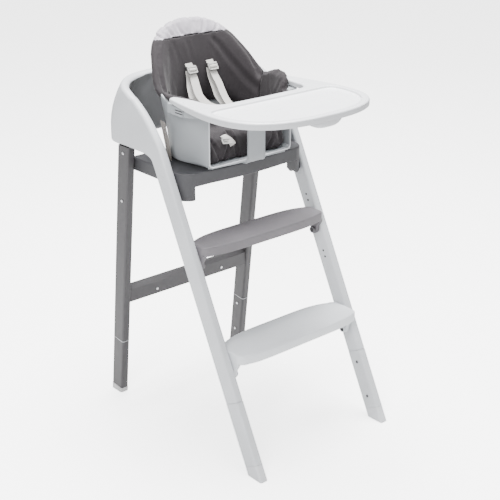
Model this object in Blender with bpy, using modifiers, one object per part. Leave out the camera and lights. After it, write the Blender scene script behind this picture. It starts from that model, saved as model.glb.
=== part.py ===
"""Baby high chair: an A-frame step chair with a lift-off baby seat and a sliding tray.

Metres, +Z up. The chair faces -Y, X = 0 is its plane of symmetry, and the origin is on the
floor below the centre. "left" is the child's left, which is +X.
"""
import math

import bmesh
import bpy
from mathutils import Matrix, Vector

# ---------------------------------------------------------------- driving dimensions
GAP = 0.0003                 # clearance between touching parts
OUTER_HALF = 0.232           # outer face of the front legs
LEG_WIDTH = 0.024            # leg section along X
FOOT_HALF = 0.3275           # front and rear ends of the footprint
FRONT_LEAN = 0.497           # front legs: metres backwards for each metre up
REAR_LEAN = -0.1173          # rear legs: metres forwards for each metre up
FRONT_DEPTH = 0.048          # front leg section, square to its axis
REAR_DEPTH = 0.047
LEG_CORNER = 0.0055
TUBE_WALL = 0.002
FRONT_SEAM = 0.178           # height where the lower leg starts
REAR_SEAM = 0.172
FRONT_FOOT_HEIGHT = 0.030
REAR_FOOT_HEIGHT = 0.016
SPIGOT = 0.045               # how far a lower leg reaches into the upper one

HOOP_BOTTOM = 0.754
HOOP_REAR = 0.310            # rear face of the backrest hoop
HOOP_WALL = 0.024
HOOP_TOP = 0.920

INNER_HALF = 0.2075          # half width of what fits between the front legs
PLATE_TOP = 0.722
PLATE_THICK = 0.036
FOOTREST_TOP = 0.552
STEP_TOP = 0.303
BOARD_THICK = 0.025
HOLE_PITCH = 0.0725          # height between two positions of a board on the front legs

SHELL_BASE = PLATE_TOP + GAP
SHELL_WALL = 0.004
TRAY_TOP = 0.904
TRAY_THICK = 0.018
TRAY_HALF = 0.2245
TRAY_FRONT = -0.305

# ---------------------------------------------------------------- scene and materials
for old in list(bpy.data.objects):
    bpy.data.objects.remove(old, do_unlink=True)

PARTS = bpy.data.collections.new("baby_high_chair")
CUTTERS = bpy.data.collections.new("cutters")
bpy.context.scene.collection.children.link(PARTS)
bpy.context.scene.collection.children.link(CUTTERS)


def material(name, colour, roughness, metallic=0.0):
    made = bpy.data.materials.new(name)
    made.use_nodes = True
    shader = made.node_tree.nodes["Principled BSDF"]
    shader.inputs["Base Color"].default_value = (*colour, 1.0)
    shader.inputs["Roughness"].default_value = roughness
    shader.inputs["Metallic"].default_value = metallic
    return made


LIGHT_PAINT = material("light_leg_paint", (0.56, 0.57, 0.59), 0.42)
DARK_PAINT = material("dark_leg_paint", (0.10, 0.10, 0.11), 0.45)
LIGHT_PLASTIC = material("light_plastic", (0.62, 0.64, 0.66), 0.40)
HOOP_PLASTIC = material("hoop_plastic", (0.66, 0.67, 0.68), 0.42)
PLATE_PLASTIC = material("plate_plastic", (0.13, 0.13, 0.14), 0.50)
STEP_PLASTIC = material("footrest_plastic", (0.38, 0.37, 0.39), 0.50)
TRAY_PLASTIC = material("tray_plastic", (0.80, 0.81, 0.83), 0.30)
FOOT_RUBBER = material("foot_rubber", (0.50, 0.50, 0.50), 0.80)
STEEL = material("zinc_steel", (0.70, 0.70, 0.70), 0.30, 1.0)
FABRIC = material("dark_fabric", (0.10, 0.09, 0.095), 0.85)
SILVER_FABRIC = material("silver_fabric", (0.55, 0.54, 0.57), 0.60)
WEBBING = material("light_webbing", (0.62, 0.61, 0.59), 0.85)
BELT_WEBBING = material("belt_webbing", (0.42, 0.38, 0.35), 0.85)
BUCKLE_PLASTIC = material("buckle_plastic", (0.55, 0.55, 0.54), 0.45)


# ---------------------------------------------------------------- modelling helpers
def add_object(name, mesh, look, collection=PARTS):
    made = bpy.data.objects.new(name, mesh)
    collection.objects.link(made)
    if look is not None:
        made.data.materials.append(look)
    if collection is CUTTERS:
        made.hide_render = True
        made.display_type = 'WIRE'
    return made


def object_from_bmesh(name, mesh_data, look, collection=PARTS, closed=True):
    if closed:
        bmesh.ops.recalc_face_normals(mesh_data, faces=mesh_data.faces[:])
    mesh = bpy.data.meshes.new(name)
    mesh_data.to_mesh(mesh)
    mesh_data.free()
    mesh.shade_smooth()
    mesh.set_sharp_from_angle(angle=math.radians(35))
    return add_object(name, mesh, look, collection)


def box_bmesh(low, high):
    data = bmesh.new()
    bmesh.ops.create_cube(data, size=1.0)
    low, high = Vector(low), Vector(high)
    bmesh.ops.scale(data, vec=high - low, verts=data.verts)
    bmesh.ops.translate(data, vec=(low + high) / 2, verts=data.verts)
    return data


def box(name, low, high, look, bevel=0.0, segments=2, collection=PARTS):
    """A box between two corners, with every edge rounded."""
    made = object_from_bmesh(name, box_bmesh(low, high), look, collection)
    if bevel:
        add_bevel(made, bevel, segments)
    return made


def add_bevel(target, width, segments=2, angle=40):
    rounding = target.modifiers.new("rounding", 'BEVEL')
    rounding.width = width
    rounding.segments = segments
    rounding.limit_method = 'ANGLE'
    rounding.angle_limit = math.radians(angle)
    return rounding


def combine(target, tool, operation):
    step = target.modifiers.new(operation.lower(), 'BOOLEAN')
    step.operation = operation
    step.object = tool
    return step


def box_cutter(name, low, high, bevel=0.0, segments=2):
    return box(name, low, high, None, bevel, segments, CUTTERS)


def cylinders_x(name, centres, radius, start, end, sides=12):
    """Cylinders along X from start to end, all in one cutter."""
    data = bmesh.new()
    for y, z in centres:
        turn = Matrix.Rotation(math.radians(90), 4, 'Y')
        place = Matrix.Translation(((start + end) / 2, y, z)) @ turn
        bmesh.ops.create_cone(data, cap_ends=True, segments=sides, radius1=radius,
                              radius2=radius, depth=abs(end - start), matrix=place)
    return object_from_bmesh(name, data, None, CUTTERS)


def plate_from_outline(name, outline, low, high, look, collection=PARTS):
    """A flat outline in XY, filled and extruded between two heights, as a mesh."""
    curve = bpy.data.curves.new(name, 'CURVE')
    curve.dimensions = '2D'
    curve.fill_mode = 'BOTH'
    curve.extrude = (high - low) / 2
    spline = curve.splines.new('POLY')
    spline.points.add(len(outline) - 1)
    for point, (x, y) in zip(spline.points, outline):
        point.co = (x, y, 0, 1)
    spline.use_cyclic_u = True
    holder = bpy.data.objects.new(name + "_curve", curve)
    CUTTERS.objects.link(holder)
    holder.location = (0, 0, (low + high) / 2)
    bpy.context.view_layer.update()
    evaluated = holder.evaluated_get(bpy.context.evaluated_depsgraph_get())
    mesh = bpy.data.meshes.new_from_object(evaluated)
    place = holder.matrix_world.copy()
    bpy.data.objects.remove(holder, do_unlink=True)
    data = bmesh.new()
    data.from_mesh(mesh)
    bmesh.ops.remove_doubles(data, verts=data.verts, dist=0.00001)
    bmesh.ops.dissolve_limit(data, angle_limit=0.0005, verts=data.verts, edges=data.edges)
    made = object_from_bmesh(name, data, look, collection)
    made.matrix_world = place
    return made


def sheet(name, rows, look, thickness, inward, closed=False, bottom=False):
    """An open surface through rows of points, given thickness by Solidify.

    The surface faces along (way along a row) x (way to the next row). The wall is built
    behind it when inward is -1, and in front of it when inward is 1.
    """
    data = bmesh.new()
    grid = [[data.verts.new(point) for point in row] for row in rows]
    for lower, upper in zip(grid, grid[1:]):
        last = len(lower) if closed else len(lower) - 1
        for i in range(last):
            j = (i + 1) % len(lower)
            data.faces.new((lower[i], lower[j], upper[j], upper[i]))
    if bottom:
        data.faces.new(list(reversed(grid[0])))
    made = object_from_bmesh(name, data, look, closed=False)
    wall = made.modifiers.new("wall", 'SOLIDIFY')
    wall.thickness = thickness
    wall.offset = inward
    wall.use_even_offset = True
    return made


def turned(name, profile, look, place, steps=12):
    """A turned shape: a profile of (radius, height) pairs, top to bottom, about local Z."""
    data = bmesh.new()
    verts = [data.verts.new((radius, 0, height)) for radius, height in profile]
    for upper, lower in zip(verts, verts[1:]):
        data.edges.new((upper, lower))
    mesh = bpy.data.meshes.new(name)
    data.to_mesh(mesh)
    data.free()
    made = add_object(name, mesh, look)
    spin = made.modifiers.new("turn", 'SCREW')
    spin.steps = steps
    spin.render_steps = steps
    spin.use_merge_vertices = True
    spin.merge_threshold = 0.00005
    spin.use_smooth_shade = True
    made.matrix_world = place
    return made


def screw(name, point, outward, head_radius, head_height, shank_radius, shank_length):
    """A pan-head screw whose head rests on point and faces outward."""
    crown = head_height * 0.45
    profile = [(0, head_height), (head_radius * 0.7, head_height), (head_radius, crown),
               (head_radius, 0), (shank_radius, 0), (shank_radius, -shank_length),
               (0, -shank_length)]
    turn = Vector(outward).to_track_quat('Z', 'Y').to_matrix().to_4x4()
    lift = Vector(outward).normalized() * GAP
    return turned(name, profile, STEEL, Matrix.Translation(Vector(point) + lift) @ turn, 10)


def side_name(side):
    return "left" if side > 0 else "right"


def arc(centre, radius, start, end, count):
    """Points of an arc in degrees, both ends included."""
    points = []
    for i in range(count + 1):
        angle = math.radians(start + (end - start) * i / count)
        points.append((centre[0] + radius * math.cos(angle),
                       centre[1] + radius * math.sin(angle)))
    return points


# ---------------------------------------------------------------- legs
def leg_place(side, lean, depth, x_centre):
    """The frame of a leg: its local Z runs up the leg's centre line from the floor."""
    tilt = math.atan(lean)
    half = depth / math.cos(tilt) / 2
    foot_y = -FOOT_HALF + half if lean > 0 else FOOT_HALF - half
    return Matrix.Translation((side * x_centre, foot_y, 0)) @ Matrix.Rotation(-tilt, 4, 'X')


def rounded_bar(low, high, width, depth, corner, keep_ends=True):
    """A bar along Z with rounded long edges; without its ends it is an open tube surface."""
    data = box_bmesh((-width / 2, -depth / 2, low), (width / 2, depth / 2, high))
    long_edges = [e for e in data.edges
                  if abs(e.verts[0].co.z - e.verts[1].co.z) > (high - low) / 2]
    bmesh.ops.bevel(data, geom=long_edges, offset=corner, segments=3, profile=0.5,
                    affect='EDGES')
    if not keep_ends:
        ends = [f for f in data.faces if abs(f.normal.z) > 0.9]
        bmesh.ops.delete(data, geom=ends, context='FACES_ONLY')
    return data


def slice_off(data, point, normal):
    """Cuts away what lies beyond a plane and closes the cut."""
    geometry = data.verts[:] + data.edges[:] + data.faces[:]
    bmesh.ops.bisect_plane(data, geom=geometry, plane_co=point, plane_no=normal,
                           clear_outer=True)
    rim = [e for e in data.edges if e.is_boundary]
    if rim:
        bmesh.ops.holes_fill(data, edges=rim)


def upper_leg(name, side, lean, depth, x_centre, seam, top, look, top_normal=None):
    """A tube from the seam to the top, cut square or along a world plane at its top."""
    place = leg_place(side, lean, depth, x_centre)
    slope = math.sqrt(1 + lean * lean)
    low = seam * slope + GAP
    high = top * slope
    reach = 0.03 if top_normal is not None else 0.0
    data = rounded_bar(low, high + reach, LEG_WIDTH, depth, LEG_CORNER, keep_ends=False)
    if top_normal is not None:
        turn = place.to_3x3().transposed()
        geometry = data.verts[:] + data.edges[:] + data.faces[:]
        at_top = place.inverted() @ Vector((side * x_centre, place.translation.y, top))
        bmesh.ops.bisect_plane(data, geom=geometry, plane_co=at_top,
                               plane_no=turn @ Vector(top_normal), clear_outer=True)
    made = object_from_bmesh(name, data, look)
    wall = made.modifiers.new("wall", 'SOLIDIFY')
    wall.thickness = TUBE_WALL
    wall.offset = -1.0
    made.matrix_world = place
    return made


def lower_leg(name, side, lean, depth, x_centre, foot_height, seam, look):
    """A solid extension with a spigot that reaches into the upper tube."""
    place = leg_place(side, lean, depth, x_centre)
    slope = math.sqrt(1 + lean * lean)
    low = foot_height * slope + GAP
    high = seam * slope - GAP
    made = object_from_bmesh(
        name, rounded_bar(low, high, LEG_WIDTH, depth, LEG_CORNER), look)
    made.matrix_world = place
    shrink = 2 * (TUBE_WALL + GAP)
    inner = rounded_bar(high - 0.01, high + SPIGOT, LEG_WIDTH - shrink, depth - shrink,
                        LEG_CORNER - TUBE_WALL)
    spigot = object_from_bmesh(name + "_spigot", inner, None, CUTTERS)
    spigot.matrix_world = place
    combine(made, spigot, 'UNION')
    return made


def foot(name, side, lean, depth, x_centre, foot_height, look, flange=0.0):
    """The foot cap, cut level where it stands on the floor."""
    place = leg_place(side, lean, depth, x_centre)
    slope = math.sqrt(1 + lean * lean)
    high = foot_height * slope - GAP
    data = rounded_bar(-0.03, high, LEG_WIDTH + flange, depth, LEG_CORNER)
    floor_normal = place.to_3x3().transposed() @ Vector((0, 0, -1))
    slice_off(data, Vector((0, 0, 0)), floor_normal)
    made = object_from_bmesh(name, data, look)
    made.matrix_world = place
    return made


def front_leg_y(z, behind):
    """Y of the point that lies this far behind the front face of a front leg."""
    return -FOOT_HALF + FRONT_LEAN * z + behind


def rear_leg_y(z, ahead):
    """Y of the point that lies this far ahead of the rear face of a rear leg."""
    return FOOT_HALF + REAR_LEAN * z - ahead


FRONT_X = OUTER_HALF - LEG_WIDTH / 2
REAR_X = 0.222
HOLE_BEHIND = 0.0255         # the hole line is the front legs' centre line
BOLT_RADIUS = 0.003
SCREW_HEAD = 0.0042
SCREW_SHANK = 0.0016

# the lower hole of each pair on the front legs; the boards' bolts use pairs 0, 2 and one
# of their own lower down
PLATE_BOLT_Z = 0.6590
FOOTREST_BOLT_Z = 0.4950
STEP_BOLT_Z = 0.240
PAIR_STEP = 0.0155


def free_hole_heights():
    """The heights of the free pairs: one above and one below the footrest."""
    heights = []
    for offset in (1, -1):
        lower = FOOTREST_BOLT_Z + offset * HOLE_PITCH
        heights += [lower, lower + PAIR_STEP]
    return heights


def front_leg(side):
    tag = side_name(side)
    upper = upper_leg("front_leg_upper_" + tag, side, FRONT_LEAN, FRONT_DEPTH, FRONT_X,
                      FRONT_SEAM, HOOP_JOINT, LIGHT_PAINT)
    holes = [(front_leg_y(z, HOLE_BEHIND), z) for z in free_hole_heights()]
    inner = side * (OUTER_HALF - LEG_WIDTH)
    cutter = cylinders_x("front_holes_" + tag, holes, BOLT_RADIUS,
                         inner - side * 0.003, inner + side * 0.005)
    combine(upper, cutter, 'DIFFERENCE')
    lower = lower_leg("front_leg_lower_" + tag, side, FRONT_LEAN, FRONT_DEPTH, FRONT_X,
                      FRONT_FOOT_HEIGHT, FRONT_SEAM, LIGHT_PAINT)
    heights = (0.150, 0.062)
    points = [(front_leg_y(z, HOLE_BEHIND), z) for z in heights]
    cutter = cylinders_x("front_screw_holes_" + tag, points, SCREW_SHANK + GAP,
                         inner - side * 0.003, inner + side * 0.010, 10)
    combine(lower, cutter, 'DIFFERENCE')
    for label, (y, z) in zip(("top", "low"), points):
        screw(f"front_screw_{label}_{tag}", (inner, y, z), (-side, 0, 0),
              SCREW_HEAD, 0.0018, SCREW_SHANK, 0.008)
    foot("front_foot_" + tag, side, FRONT_LEAN, FRONT_DEPTH, FRONT_X, FRONT_FOOT_HEIGHT,
         FOOT_RUBBER)


def rear_leg(side):
    tag = side_name(side)
    upper = upper_leg("rear_leg_upper_" + tag, side, REAR_LEAN, REAR_DEPTH, REAR_X,
                      REAR_SEAM, HOOP_BOTTOM - GAP, DARK_PAINT, (0, 0, 1))
    outer = side * (REAR_X + LEG_WIDTH / 2)
    heights = (0.735, 0.600)
    points = [(rear_leg_y(z, REAR_DEPTH * 0.55), z) for z in heights]
    cutter = cylinders_x("rear_side_holes_" + tag, points, SCREW_SHANK + GAP,
                         outer + side * 0.003, outer - side * 0.006, 10)
    combine(upper, cutter, 'DIFFERENCE')
    for label, (y, z) in zip(("hoop", "plate"), points):
        screw(f"rear_{label}_screw_{tag}", (outer, y, z), (side, 0, 0),
              SCREW_HEAD, 0.0018, SCREW_SHANK, 0.006)
    lower = lower_leg("rear_leg_lower_" + tag, side, REAR_LEAN, REAR_DEPTH, REAR_X,
                      REAR_FOOT_HEIGHT, REAR_SEAM, DARK_PAINT)
    inner = side * (REAR_X - LEG_WIDTH / 2)
    heights = (0.148, 0.058)
    points = [(rear_leg_y(z, REAR_DEPTH * 0.5), z) for z in heights]
    cutter = cylinders_x("rear_screw_holes_" + tag, points, SCREW_SHANK + GAP,
                         inner - side * 0.003, inner + side * 0.010, 10)
    combine(lower, cutter, 'DIFFERENCE')
    for label, (y, z) in zip(("top", "low"), points):
        screw(f"rear_screw_{label}_{tag}", (inner, y, z), (-side, 0, 0),
              SCREW_HEAD, 0.0018, SCREW_SHANK, 0.008)
    foot("rear_foot_" + tag, side, REAR_LEAN, REAR_DEPTH, REAR_X, REAR_FOOT_HEIGHT,
         FOOT_RUBBER, 0.002)


def rear_crossbar():
    """A channel between the rear legs, open to the rear, with a sloped lip on top."""
    low, high = 0.292, 0.328
    front = rear_leg_y(0.31, REAR_DEPTH) + 0.004
    reach = REAR_X - LEG_WIDTH / 2 - GAP
    profile = [(front + 0.020, low), (front, low), (front, high), (front + 0.012, high + 0.009),
               (front + 0.024, high + 0.009)]
    rows = [[(x, y, z) for y, z in profile] for x in (-reach, reach)]
    bar = sheet("rear_crossbar", rows, DARK_PAINT, 0.002, 1)
    data = bmesh.new()
    for side in (1, -1):
        place = Matrix.Translation((side * 0.117, front, 0.306))
        bmesh.ops.create_cone(data, cap_ends=True, segments=10, radius1=SCREW_SHANK + GAP,
                              radius2=SCREW_SHANK + GAP, depth=0.02,
                              matrix=place @ Matrix.Rotation(math.radians(90), 4, 'X'))
    combine(bar, object_from_bmesh("crossbar_holes", data, None, CUTTERS), 'DIFFERENCE')
    for side in (1, -1):
        screw("crossbar_screw_" + side_name(side), (side * 0.117, front, 0.306), (0, -1, 0),
              SCREW_HEAD, 0.0018, SCREW_SHANK, 0.008)


# ---------------------------------------------------------------- backrest hoop
HOOP_JOINT = 0.745           # height of the front leg's square-cut top, on its centre line
HOOP_ROWS = 6
RIM_START = (0.060, 0.780)   # where the hoop's upper edge leaves the line of the leg
FILLET = [(0.0970, 0.7430), (0.1090, 0.7490), (0.1280, 0.7530)]
SIDE_TOPS = [0.062, 0.082, 0.105, 0.130, 0.158]


def hoop_corner(z):
    """Corner radius of the hoop in plan: square enough for the rear legs, rounder on top."""
    rise = max(0.0, z - 0.79)
    return 0.058 + 5.6 * rise * rise


def hoop_top_height(y):
    """Height of the hoop's upper edge at this depth."""
    share = min(1.0, max(0.0, (y - RIM_START[0]) / (HOOP_REAR - 0.010 - RIM_START[0])))
    return RIM_START[1] + (HOOP_TOP - RIM_START[1]) * (1 - (1 - share) ** 2.3)


def hoop_side_columns():
    """Pairs of lower and upper (y, z) points along the side, from the leg joint backwards."""
    slope = math.sqrt(1 + FRONT_LEAN ** 2)
    joint = Vector((front_leg_y(HOOP_JOINT, FRONT_DEPTH * slope / 2), HOOP_JOINT))
    joint += Vector((FRONT_LEAN, 1)) / slope * GAP
    square = Vector((1, -FRONT_LEAN)) / slope * FRONT_DEPTH / 2
    lows = [joint + square] + [Vector(point) for point in FILLET]
    lows += [Vector((0.150, HOOP_BOTTOM)), Vector((0.195, HOOP_BOTTOM))]
    highs = [joint - square] + [Vector((y, hoop_top_height(y))) for y in SIDE_TOPS]
    return list(zip(lows, highs))


def hoop_rear_point(angle, share, rise):
    """A point round the rear corner: angle 0 is the side, 90 the rear, share 0 the middle."""
    turn = math.radians(angle)
    top = HOOP_TOP
    for _ in range(12):
        top = (top + hoop_top_height(HOOP_REAR - hoop_corner(top) * (1 - math.sin(turn)))) / 2
    z = HOOP_BOTTOM + (top - HOOP_BOTTOM) * rise
    radius = hoop_corner(z)
    x = OUTER_HALF - radius * (1 - math.cos(turn))
    return (x * share, HOOP_REAR - radius * (1 - math.sin(turn)), z)


def hoop_half():
    """Columns of points from the leg joint round to the middle of the rear, +X side."""
    rises = [i / (HOOP_ROWS - 1) for i in range(HOOP_ROWS)]
    columns = [[(OUTER_HALF, *low.lerp(high, rise)) for rise in rises]
               for low, high in hoop_side_columns()]
    columns += [[hoop_rear_point(angle, 1.0, rise) for rise in rises]
                for angle in range(0, 91, 15)]
    columns += [[hoop_rear_point(90, share, rise) for rise in rises]
                for share in (0.5, 0.0)]
    return columns


def backrest_hoop():
    half = hoop_half()
    mirrored = [[(-x, y, z) for x, y, z in column] for column in reversed(half[:-1])]
    hoop = sheet("backrest_hoop", half + mirrored, HOOP_PLASTIC, HOOP_WALL, 1)
    add_bevel(hoop, 0.006, 2, 50)


# ---------------------------------------------------------------- boards on the front legs
def boat_outline(corner, front, back, count=12):
    """A board with bowed long edges; front and back are its (middle, end, power)."""
    reach = INNER_HALF - corner

    def edge(shape, x):
        middle, end, power = shape
        return middle + (end - middle) * (abs(x) / INNER_HALF) ** power

    xs = [reach * (2 * i / count - 1) for i in range(count + 1)]
    low = [(x, edge(front, x)) for x in xs]
    high = [(x, edge(back, x)) for x in reversed(xs)]
    right = arc((reach, low[-1][1] + corner), corner, -75, 0, 4)
    right += arc((reach, high[0][1] - corner), corner, 0, 75, 4)
    left = [(-x, y) for x, y in reversed(right)]
    return low + right + high + left


def lug(board, name, side, front, back, low, high, thick):
    """An ear that lies against the leg, below a board."""
    outer = side * INNER_HALF
    inner = side * (INNER_HALF - thick)
    ear = box_cutter(name, (min(outer, inner), front, low), (max(outer, inner), back, high),
                     0.003)
    combine(board, ear, 'UNION')


def board_bolt(board, name, side, z, boss_radius, boss_reach):
    """A round boss on the lug, bored for a socket bolt whose shank stops at the leg."""
    y = front_leg_y(z, HOLE_BEHIND)
    boss = cylinders_x(name + "_boss", [(y, z)], boss_radius, side * INNER_HALF,
                       side * (INNER_HALF - boss_reach), 20)
    combine(board, boss, 'UNION')
    head = min(boss_radius * 0.62, 0.0062)
    bore = cylinders_x(name + "_bore", [(y, z)], head + GAP,
                       side * (INNER_HALF - boss_reach + 0.006),
                       side * (INNER_HALF - boss_reach - 0.004), 16)
    combine(board, bore, 'DIFFERENCE')
    hole = cylinders_x(name + "_hole", [(y, z)], BOLT_RADIUS + GAP,
                       side * (INNER_HALF + 0.003), side * (INNER_HALF - boss_reach), 12)
    combine(board, hole, 'DIFFERENCE')
    rest = side * (INNER_HALF - boss_reach + 0.006)
    socket = head * 0.55
    profile = [(0, 0.0018), (socket, 0.0018), (socket, 0.0045), (head, 0.0045), (head, 0),
               (BOLT_RADIUS, 0), (BOLT_RADIUS, -(boss_reach - 0.006 - GAP)),
               (0, -(boss_reach - 0.006 - GAP))]
    turn = Vector((-side, 0, 0)).to_track_quat('Z', 'Y').to_matrix().to_4x4()
    place = Matrix.Translation((rest - side * GAP, y, z)) @ turn
    turned(name, profile, STEEL, place, 12)


def board(name, outline, top, thick, look, bolt_name, bolt_z, lug_low, lug_span,
          lug_thick, boss_radius, boss_reach):
    made = plate_from_outline(name, outline, top - thick, top, look)
    add_bevel(made, 0.003, 2, 50)
    for side in (1, -1):
        centre = front_leg_y(bolt_z, HOLE_BEHIND)
        lug(made, f"{name}_lug_{side_name(side)}", side, centre - lug_span[0],
            centre + lug_span[1], lug_low, top - thick + 0.008, lug_thick)
        board_bolt(made, f"{bolt_name}_{side_name(side)}", side, bolt_z, boss_radius,
                   boss_reach)
    return made


def seat_plate_outline():
    """Bowed front with round corners, straight sides back to the rear legs."""
    corner = 0.045
    back = 0.216
    points = [(-INNER_HALF, back), (-INNER_HALF, 0.045)]
    points += arc((-INNER_HALF + corner, 0.035), corner, 180, 262, 6)
    for x in (-0.10, -0.05, 0.0, 0.05, 0.10):
        points.append((x, -0.018 + 0.5 * x * x))
    points += arc((INNER_HALF - corner, 0.035), corner, 278, 360, 6)
    points += [(INNER_HALF, 0.045), (INNER_HALF, back)]
    return points


def seat_plate():
    made = board("seat_plate", seat_plate_outline(), PLATE_TOP, PLATE_THICK, PLATE_PLASTIC,
                 "plate_bolt", PLATE_BOLT_Z, PLATE_BOLT_Z, (0.014, 0.014), 0.026, 0.014, 0.026)
    pocket = box_cutter("plate_pocket", (-0.195, 0.012, PLATE_TOP - PLATE_THICK - 0.01),
                        (0.195, 0.208, PLATE_TOP - 0.004), 0.004)
    combine(made, pocket, 'DIFFERENCE')


def footrest():
    outline = boat_outline(0.018, (-0.099, -0.080, 4.5), (-0.001, -0.030, 5.0))
    board("footrest", outline, FOOTREST_TOP, BOARD_THICK, STEP_PLASTIC,
          "footrest_bolt", FOOTREST_BOLT_Z, 0.482, (0.013, 0.013), 0.009, 0.0085, 0.018)


def lower_step():
    outline = boat_outline(0.022, (-0.234, -0.214, 7.0), (-0.108, -0.142, 4.6))
    board("lower_step", outline, STEP_TOP, BOARD_THICK, LIGHT_PLASTIC,
          "step_bolt", STEP_BOLT_Z, 0.228, (0.013, 0.013), 0.009, 0.0085, 0.018)


# ---------------------------------------------------------------- baby seat
# The tub is a loft between its base outline and its rim, both given for the +X half from
# the front middle to the rear middle.
BASE_HALF = [(0.0, -0.021), (0.064, -0.021), (0.128, -0.020), (0.136, -0.010), (0.140, 0.018),
             (0.143, 0.050), (0.146, 0.078), (0.145, 0.104), (0.140, 0.126), (0.123, 0.158),
             (0.090, 0.180), (0.046, 0.190), (0.0, 0.192)]
RIM_HALF = [(0.0, -0.021, 0.868), (0.064, -0.021, 0.868), (0.128, -0.020, 0.868),
            (0.138, -0.010, 0.869), (0.149, 0.018, 0.872), (0.158, 0.050, 0.8745),
            (0.166, 0.080, 0.8790), (0.172, 0.108, 0.892), (0.175, 0.134, 0.911),
            (0.156, 0.180, 0.965), (0.131, 0.215, 1.006), (0.077, 0.246, 1.037),
            (0.0, 0.257, 1.046)]
WINDOW_HALF = 0.131          # the opening in the tub's front wall
POST_FOOT = 0.7345           # bottom and top of that opening
POST_HEAD = 0.861
RAIL_LOW = 0.861
RAIL_OUTER = 0.184           # outer face of the ledges the tray slides on
LATCH_MID = 0.042            # how far back the tray's latches are
SIDE_COLUMNS = range(3, 8)   # the tub's side walls, in front of the back
BACK_COLUMNS = range(8, 13)


def tub_point(i, rise, inset=0.0):
    """A point of the tub's outer wall: column i, rise 0 at the base and 1 at the rim."""
    base = Vector((*BASE_HALF[i], SHELL_BASE + 0.006))
    rim = Vector(RIM_HALF[i])
    belly = Vector((base.x + (rim.x - base.x) * 0.3, base.y, base.z + (rim.z - base.z) * 0.52))
    point = base.lerp(belly, rise).lerp(belly.lerp(rim, rise), rise)
    if inset:
        point += tub_inward(i) * inset
    return point


def tub_inward(i):
    """The direction into the tub, level, at column i."""
    before = Vector(BASE_HALF[max(0, i - 1)])
    after = Vector(BASE_HALF[min(len(BASE_HALF) - 1, i + 1)])
    along = (after - before).normalized()
    inward = Vector((-along.y, along.x, 0))
    if i == 0 or i == len(BASE_HALF) - 1:
        inward.x = 0
    return inward.normalized()


def mirrored_loop(points):
    """A half row from the front middle to the rear middle, continued round the -X side."""
    other = [Vector((-p.x, p.y, p.z)) for p in reversed(points[1:-1])]
    return points + other


def seat_shell():
    levels = [0.0, 0.16, 0.34, 0.52, 0.70, 0.85, 1.0]
    columns = range(len(BASE_HALF))
    chamfer = [tub_point(i, 0.0, 0.006) - Vector((0, 0, 0.006)) for i in columns]
    rows = [mirrored_loop(chamfer)]
    rows += [mirrored_loop([tub_point(i, rise) for i in columns]) for rise in levels]
    shell = sheet("seat_shell", rows, LIGHT_PLASTIC, SHELL_WALL, -1, closed=True,
                  bottom=True)
    window = box_cutter("front_window", (-WINDOW_HALF, -0.040, POST_FOOT),
                        (WINDOW_HALF, 0.0, POST_HEAD), 0.008, 3)
    combine(shell, window, 'DIFFERENCE')
    post = box_cutter("crotch_post", (-0.029, -0.042, SHELL_BASE + 0.004),
                      (0.029, -0.0165, 0.874), 0.005)
    behind = box_cutter("post_back", (-0.040, -0.0370, POST_FOOT), (0.040, 0.010, POST_HEAD))
    combine(post, behind, 'DIFFERENCE')
    combine(shell, post, 'UNION')
    for side in (1, -1):
        combine(shell, tray_rail(side), 'UNION')


def tray_rail(side):
    """A ledge along the outside of the tub that carries an arm of the tray."""
    tag = side_name(side)
    wall = [tub_point(i, 0.90) for i in (3, 4, 5, 6)]
    outline = [(p.x, p.y) for p in wall]
    outline += [(RAIL_OUTER, 0.088), (RAIL_OUTER, 0.018), (0.173, -0.003), (0.154, -0.010)]
    outline = [(side * x, y) for x, y in outline]
    rail = plate_from_outline("rail_" + tag, outline, RAIL_LOW, TRAY_TOP - TRAY_THICK - GAP,
                              None, CUTTERS)
    add_bevel(rail, 0.002, 2, 50)
    return rail


# ---------------------------------------------------------------- soft parts in the seat
PAD = 0.016
PAD_INSET = SHELL_WALL + 0.0024
PANEL_SEAM = 1.011           # height of the seam under the head panel


def tub_ribbon(name, rows, look, thickness=PAD):
    """A pad with its outer face through these rows and its thickness inside them."""
    made = sheet(name, rows, look, thickness, -1)
    add_bevel(made, 0.004, 2, 60)
    return made


def back_cover(name, low, high, look):
    """The part between two heights of the padded cover that lines the tub's back."""
    rows = []
    for rise in (0.36, 0.50, 0.64, 0.78, 0.90, 1.016):
        row = [tub_point(i, rise, PAD_INSET) for i in BACK_COLUMNS]
        rows.append(row + [Vector((-p.x, p.y, p.z)) for p in reversed(row[:-1])])
    cover = tub_ribbon(name, rows, look)
    block = box_cutter(name + "_trim", (-0.3, -0.1, low), (0.3, 0.4, high))
    combine(cover, block, 'INTERSECT')


def wing(side):
    """The padded side of the seat, standing a little above the tray."""
    tops = (1.14, 1.25, 1.28, 1.27, 1.12)
    rows = []
    for share in (0.60, 0.74, 0.88, 1.0):
        row = [tub_point(i, top * share if share == 1.0 else share, PAD_INSET)
               for i, top in zip(SIDE_COLUMNS, tops)]
        rows.append([Vector((side * p.x, p.y, p.z)) for p in row])
    if side < 0:
        rows = [list(reversed(row)) for row in rows]
    tub_ribbon("side_wing_" + side_name(side), rows, FABRIC, 0.014)


def seat_cushion():
    """The padded seat, with its front behind the tub's windows."""
    outline = [(x * 0.90, -0.010 + (y + 0.020) * 0.80) for x, y in BASE_HALF[1:10]]
    mirrored = [(-x, y) for x, y in reversed(outline)]
    made = plate_from_outline("seat_cushion", outline + mirrored, SHELL_BASE + 0.006, 0.806,
                              FABRIC)
    add_bevel(made, 0.010, 2, 50)


def strap(name, points, width, look, thickness=0.0018, flat=(1, 0, 0)):
    """A flat strap: a ribbon of this width through the points, lying across flat."""
    half = Vector(flat).normalized() * width / 2
    rows = [[Vector(p) - half, Vector(p) + half] for p in points]
    return sheet(name, rows, look, thickness, 1)


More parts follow.
